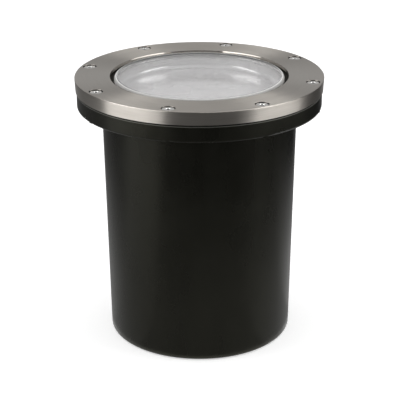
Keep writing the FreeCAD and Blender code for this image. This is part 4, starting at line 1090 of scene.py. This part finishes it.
@dataclass
class Fasteners:
    """All sets of small screws."""

    ring_screw: Screw = field(default_factory=lambda: Screw(
        Head.FLAT_HEXAGON, 6.2 * MM, 3.2 * MM, 3.0 * MM, 1.0 * MM, 4.0 * MM, 2.4 * MM, steps=64))
    plate_screw: Screw = field(default_factory=lambda: Screw(
        Head.PAN_CROSS, 4.0 * MM, 2.4 * MM, 2.0 * MM, 1.4 * MM, 1.0 * MM, 1.9 * MM))
    holder_screw: Screw = field(default_factory=lambda: Screw(
        Head.PAN_CROSS, 3.6 * MM, 2.0 * MM, 2.0 * MM, 0.7 * MM, 0.9 * MM, 1.5 * MM, 10.0 * MM))
    bracket_screw: Screw = field(default_factory=lambda: Screw(
        Head.PAN_CROSS, 3.2 * MM, 2.0 * MM, 1.7 * MM, 0.6 * MM, 0.9 * MM, 1.4 * MM, 7.0 * MM))
    terminal_screw: Screw = field(default_factory=lambda: Screw(
        Head.CHEESE_SLOT, 1.9 * MM, 2.0 * MM, 1.5 * MM, 0.5 * MM, 0.6 * MM, 0.8 * MM, 6.0 * MM))

    def build(self) -> None:
        """Makes every set."""
        pattern = pattern_tree()
        thread = thread_tree()
        low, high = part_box("ring_screws")
        self.ring_screw.length = high.z - low.z
        low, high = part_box("plate_screws")
        self.plate_screw.length = high.z - low.z
        for each in (FastenerSet("ring_screws", self.ring_screw, straight_up, 7),
                     FastenerSet("plate_screws", self.plate_screw, straight_up, 3),
                     FastenerSet("lampholder_screws", self.holder_screw, downwards, 5),
                     FastenerSet("bracket_screws", self.bracket_screw, inwards, 9),
                     FastenerSet("terminal_screws", self.terminal_screw, straight_up, 2)):
            each.build(pattern, thread)


# ---------------------------------------------------------------- studio and camera
@dataclass
class Camera:
    """Camera that sees the light as the photograph does."""

    distance: float = 1.4019
    pitch: float = 0.3771
    roll: float = -0.0033
    target_height: float = 0.1368
    focal_pixels: float = 1348.3
    centre_pixels: float = 199.69
    image_pixels: float = 400.0
    sensor: float = 36.0
    nearest: float = 0.05
    farthest: float = 50.0

    def build(self) -> None:
        """Adds the camera and makes it the scene's."""
        data = bpy.data.cameras.new("camera")
        data.sensor_width = self.sensor
        data.lens = self.sensor * self.focal_pixels / self.image_pixels
        data.shift_x = (self.image_pixels / 2.0 - self.centre_pixels) / self.image_pixels
        data.clip_start = self.nearest
        data.clip_end = self.farthest
        camera = bpy.data.objects.new("camera", data)
        bpy.context.scene.collection.objects.link(camera)
        back = Vector((0.0, -math.cos(self.pitch), math.sin(self.pitch)))
        camera.location = back * self.distance + UP * self.target_height
        camera.rotation_mode = "QUATERNION"
        level = (-back).to_track_quat("-Z", "Y")
        camera.rotation_quaternion = level @ Quaternion((0.0, 0.0, 1.0), self.roll)
        bpy.context.scene.camera = camera
        log.info("camera at %s", tuple(round(value, 4) for value in camera.location))


class FloorCard(Enum):
    """Cards on the floor that only polished surfaces see.

    Each has its first and last direction in degrees from the front, counted to the right, and its
    brightness beside the object and further out.
    """

    FRONT = (-45.0, 48.0, 0.30, 0.04)
    LEFT = (-89.0, -45.0, 0.40, 0.55)
    LEFT_BACK = (-146.0, -89.0, 0.44, 0.14)
    RIGHT = (48.0, 101.0, 0.42, 0.02)
    RIGHT_BACK = (101.0, 146.0, 0.60, 0.03)
    BACK = (146.0, 214.0, 0.50, 0.22)


class WallCard(Enum):
    """Upright cards behind the floor's: first and last direction in degrees, and brightness."""

    FRONT = (-32.0, 38.0, 0.085)
    FRONT_RIGHT = (38.0, 48.0, 0.75)
    LEFT = (-89.0, -32.0, 3.8)
    LEFT_BACK = (-137.0, -89.0, 0.24)
    RIGHT = (48.0, 100.0, 3.5)
    RIGHT_BACK = (100.0, 137.0, 0.16)
    BACK = (137.0, 223.0, 0.48)


class Lamp(Enum):
    """Soft lamps: place, point aimed at, width and height, and power in watts."""

    OVERHEAD = ((0.0, 0.2, 2.2), (0.0, 0.0, 0.2), (3.4, 2.8), 19.0)
    LEFT = ((-1.40, 0.0, 1.65), (0.0, 0.0, 0.25), (1.5, 0.4), 11.0)
    RIGHT = ((1.40, 0.0, 1.65), (0.0, 0.0, 0.25), (1.5, 0.4), 11.5)


@dataclass
class Studio:
    """White floor and world, soft lamps, and cards that take the white's place in reflections.

    The cards and the grey hood over them close off the white floor and world from glossy rays, and
    the hood closes off the white world from rays through glass.
    """

    floor_radius: float = 14.0
    floor_drop: float = 0.2 * MM
    card_inner: float = 0.098
    card_close: float = 0.20
    card_middle: float = 0.60
    card_outer: float = 1.9
    wall_height: float = 1.35
    card_lift: float = 0.002
    card_steps: int = 12
    hood_radius: float = 2.6
    hood_low: float = 1.2
    hood_height: float = 2.6
    hood_inner: float = 1.0 * MM
    hood_level: float = 0.28
    world_strength: float = 0.55
    floor_dark: Colour = (0.78, 0.78, 0.78)
    floor_light: Colour = (0.82, 0.82, 0.82)
    floor_glow: float = 0.42
    floor_segments: int = 96
    mottle_scale: float = 3.0

    def world(self) -> None:
        """White to camera, glossy and transmission rays, and a plain soft light on surfaces."""
        world = bpy.data.worlds.new("studio")
        world.use_nodes = True
        nodes = Nodes(world.node_tree)
        nodes.tree.nodes.clear()
        soft = nodes.add("ShaderNodeBackground", {"Color": WHITE, "Strength": self.world_strength})
        white = nodes.add("ShaderNodeBackground", {"Color": WHITE, "Strength": 1.0})
        mix = nodes.add("ShaderNodeMixShader", {
            0: nodes.path_share(), 1: soft.outputs[0], 2: white.outputs[0]})
        nodes.add("ShaderNodeOutputWorld", {"Surface": mix.outputs[0]})
        bpy.context.scene.world = world

    def floor(self) -> None:
        """Large pale floor that keeps the object's shadow."""
        mesh = bmesh.new()
        bmesh.ops.create_circle(mesh, cap_ends=True, segments=self.floor_segments, radius=self.floor_radius,
                                matrix=Matrix.Translation((0.0, 0.0, -self.floor_drop)))
        floor = solid_from(mesh, "floor")
        graph = Graph("floor_white")
        mottle = graph.noise(self.mottle_scale, 2.0)
        graph.set(Base_Color=graph.tint(mottle, self.floor_dark, self.floor_light), Roughness=0.8,
                  Specular_IOR_Level=0.1, Emission_Color=WHITE,
                  Emission_Strength=graph.math("MULTIPLY", graph.path_share(), self.floor_glow))
        floor.data.materials.append(graph.material)

    def cards(self) -> None:
        """Adds every card and the hood, the floor's with a soft change of brightness outwards."""
        for card in FloorCard:
            start, end, near, far = card.value
            graph = Graph("floor_card_" + card.name.lower())
            edge = [(self.card_inner, self.card_lift), (self.card_outer, self.card_lift)]
            level = graph.range(graph.radius(), near, far, self.card_close, self.card_middle)
            self.sector(graph, start, end, edge, level)
        for card in WallCard:
            start, end, level = card.value
            edge = [(self.card_outer, self.card_lift), (self.card_outer, self.wall_height)]
            self.sector(Graph("wall_card_" + card.name.lower()), start, end, edge, level)
        rim = (self.hood_radius, self.hood_height)
        strips = {"hood_wall": [(self.hood_radius, self.hood_low), rim],
                  "hood_top": [rim, (self.hood_inner, self.hood_height)]}
        for name, edge in strips.items():
            self.sector(Graph(name), -180.0, 180.0, edge, self.hood_level, through_glass=True)

    def sector(self, graph: Graph, start: float, end: float, edge: Profile,
               level: float | Socket, through_glass: bool = False) -> None:
        """One sector of a turned strip that glossy rays see, and the camera and surfaces don't.

        Args:
            graph: Material of the card, which names it too.
            start: First direction, in degrees from the front.
            end: Last direction.
            edge: Two points of the strip, as radius and height.
            level: Brightness, where 1 is white.
            through_glass: Whether rays that went through glass see it too.
        """
        mesh = bmesh.new()
        columns = []
        for step in range(self.card_steps + 1):
            angle = math.radians(start + (end - start) * step / self.card_steps)
            columns.append([mesh.verts.new((radius * math.sin(angle), -radius * math.cos(angle), height))
                            for radius, height in edge])
        for left, right in zip(columns, columns[1:]):
            mesh.faces.new((left[0], right[0], right[1], left[1]))
        card = solid_from(mesh, graph.material.name)
        graph.set(Base_Color=BLACK, Specular_IOR_Level=0.0, Roughness=1.0,
                  Emission_Color=WHITE, Emission_Strength=level)
        card.data.materials.append(graph.material)
        card.visible_camera = False
        card.visible_diffuse = False
        card.visible_shadow = False
        card.visible_transmission = through_glass

    def lamp(self, lamp: Lamp) -> None:
        """Adds a soft rectangular lamp."""
        place, aim, size, power = lamp.value
        name = lamp.name.lower()
        data = bpy.data.lights.new(name, "AREA")
        data.shape = "RECTANGLE"
        data.size, data.size_y = size
        data.energy = power
        made = bpy.data.objects.new(name, data)
        made.location = place
        made.rotation_mode = "QUATERNION"
        made.rotation_quaternion = (Vector(aim) - Vector(place)).to_track_quat("-Z", "Y")
        made.visible_camera = False
        bpy.context.scene.collection.objects.link(made)

    def build(self) -> None:
        """Sets up the whole studio."""
        self.world()
        self.floor()
        self.cards()
        for lamp in Lamp:
            self.lamp(lamp)
        bpy.context.scene.view_settings.view_transform = "Standard"
        log.info("studio ready")


# ---------------------------------------------------------------- main
def main() -> None:
    """Builds camera, studio, finishes and fasteners in order."""
    logging.basicConfig(level=logging.INFO, format="%(name)s: %(message)s")
    Camera().build()
    Studio().build()
    dress_carried_nodes()
    Fasteners().build()
    BoreDraft().build()


if __name__ == "__main__":
    main()
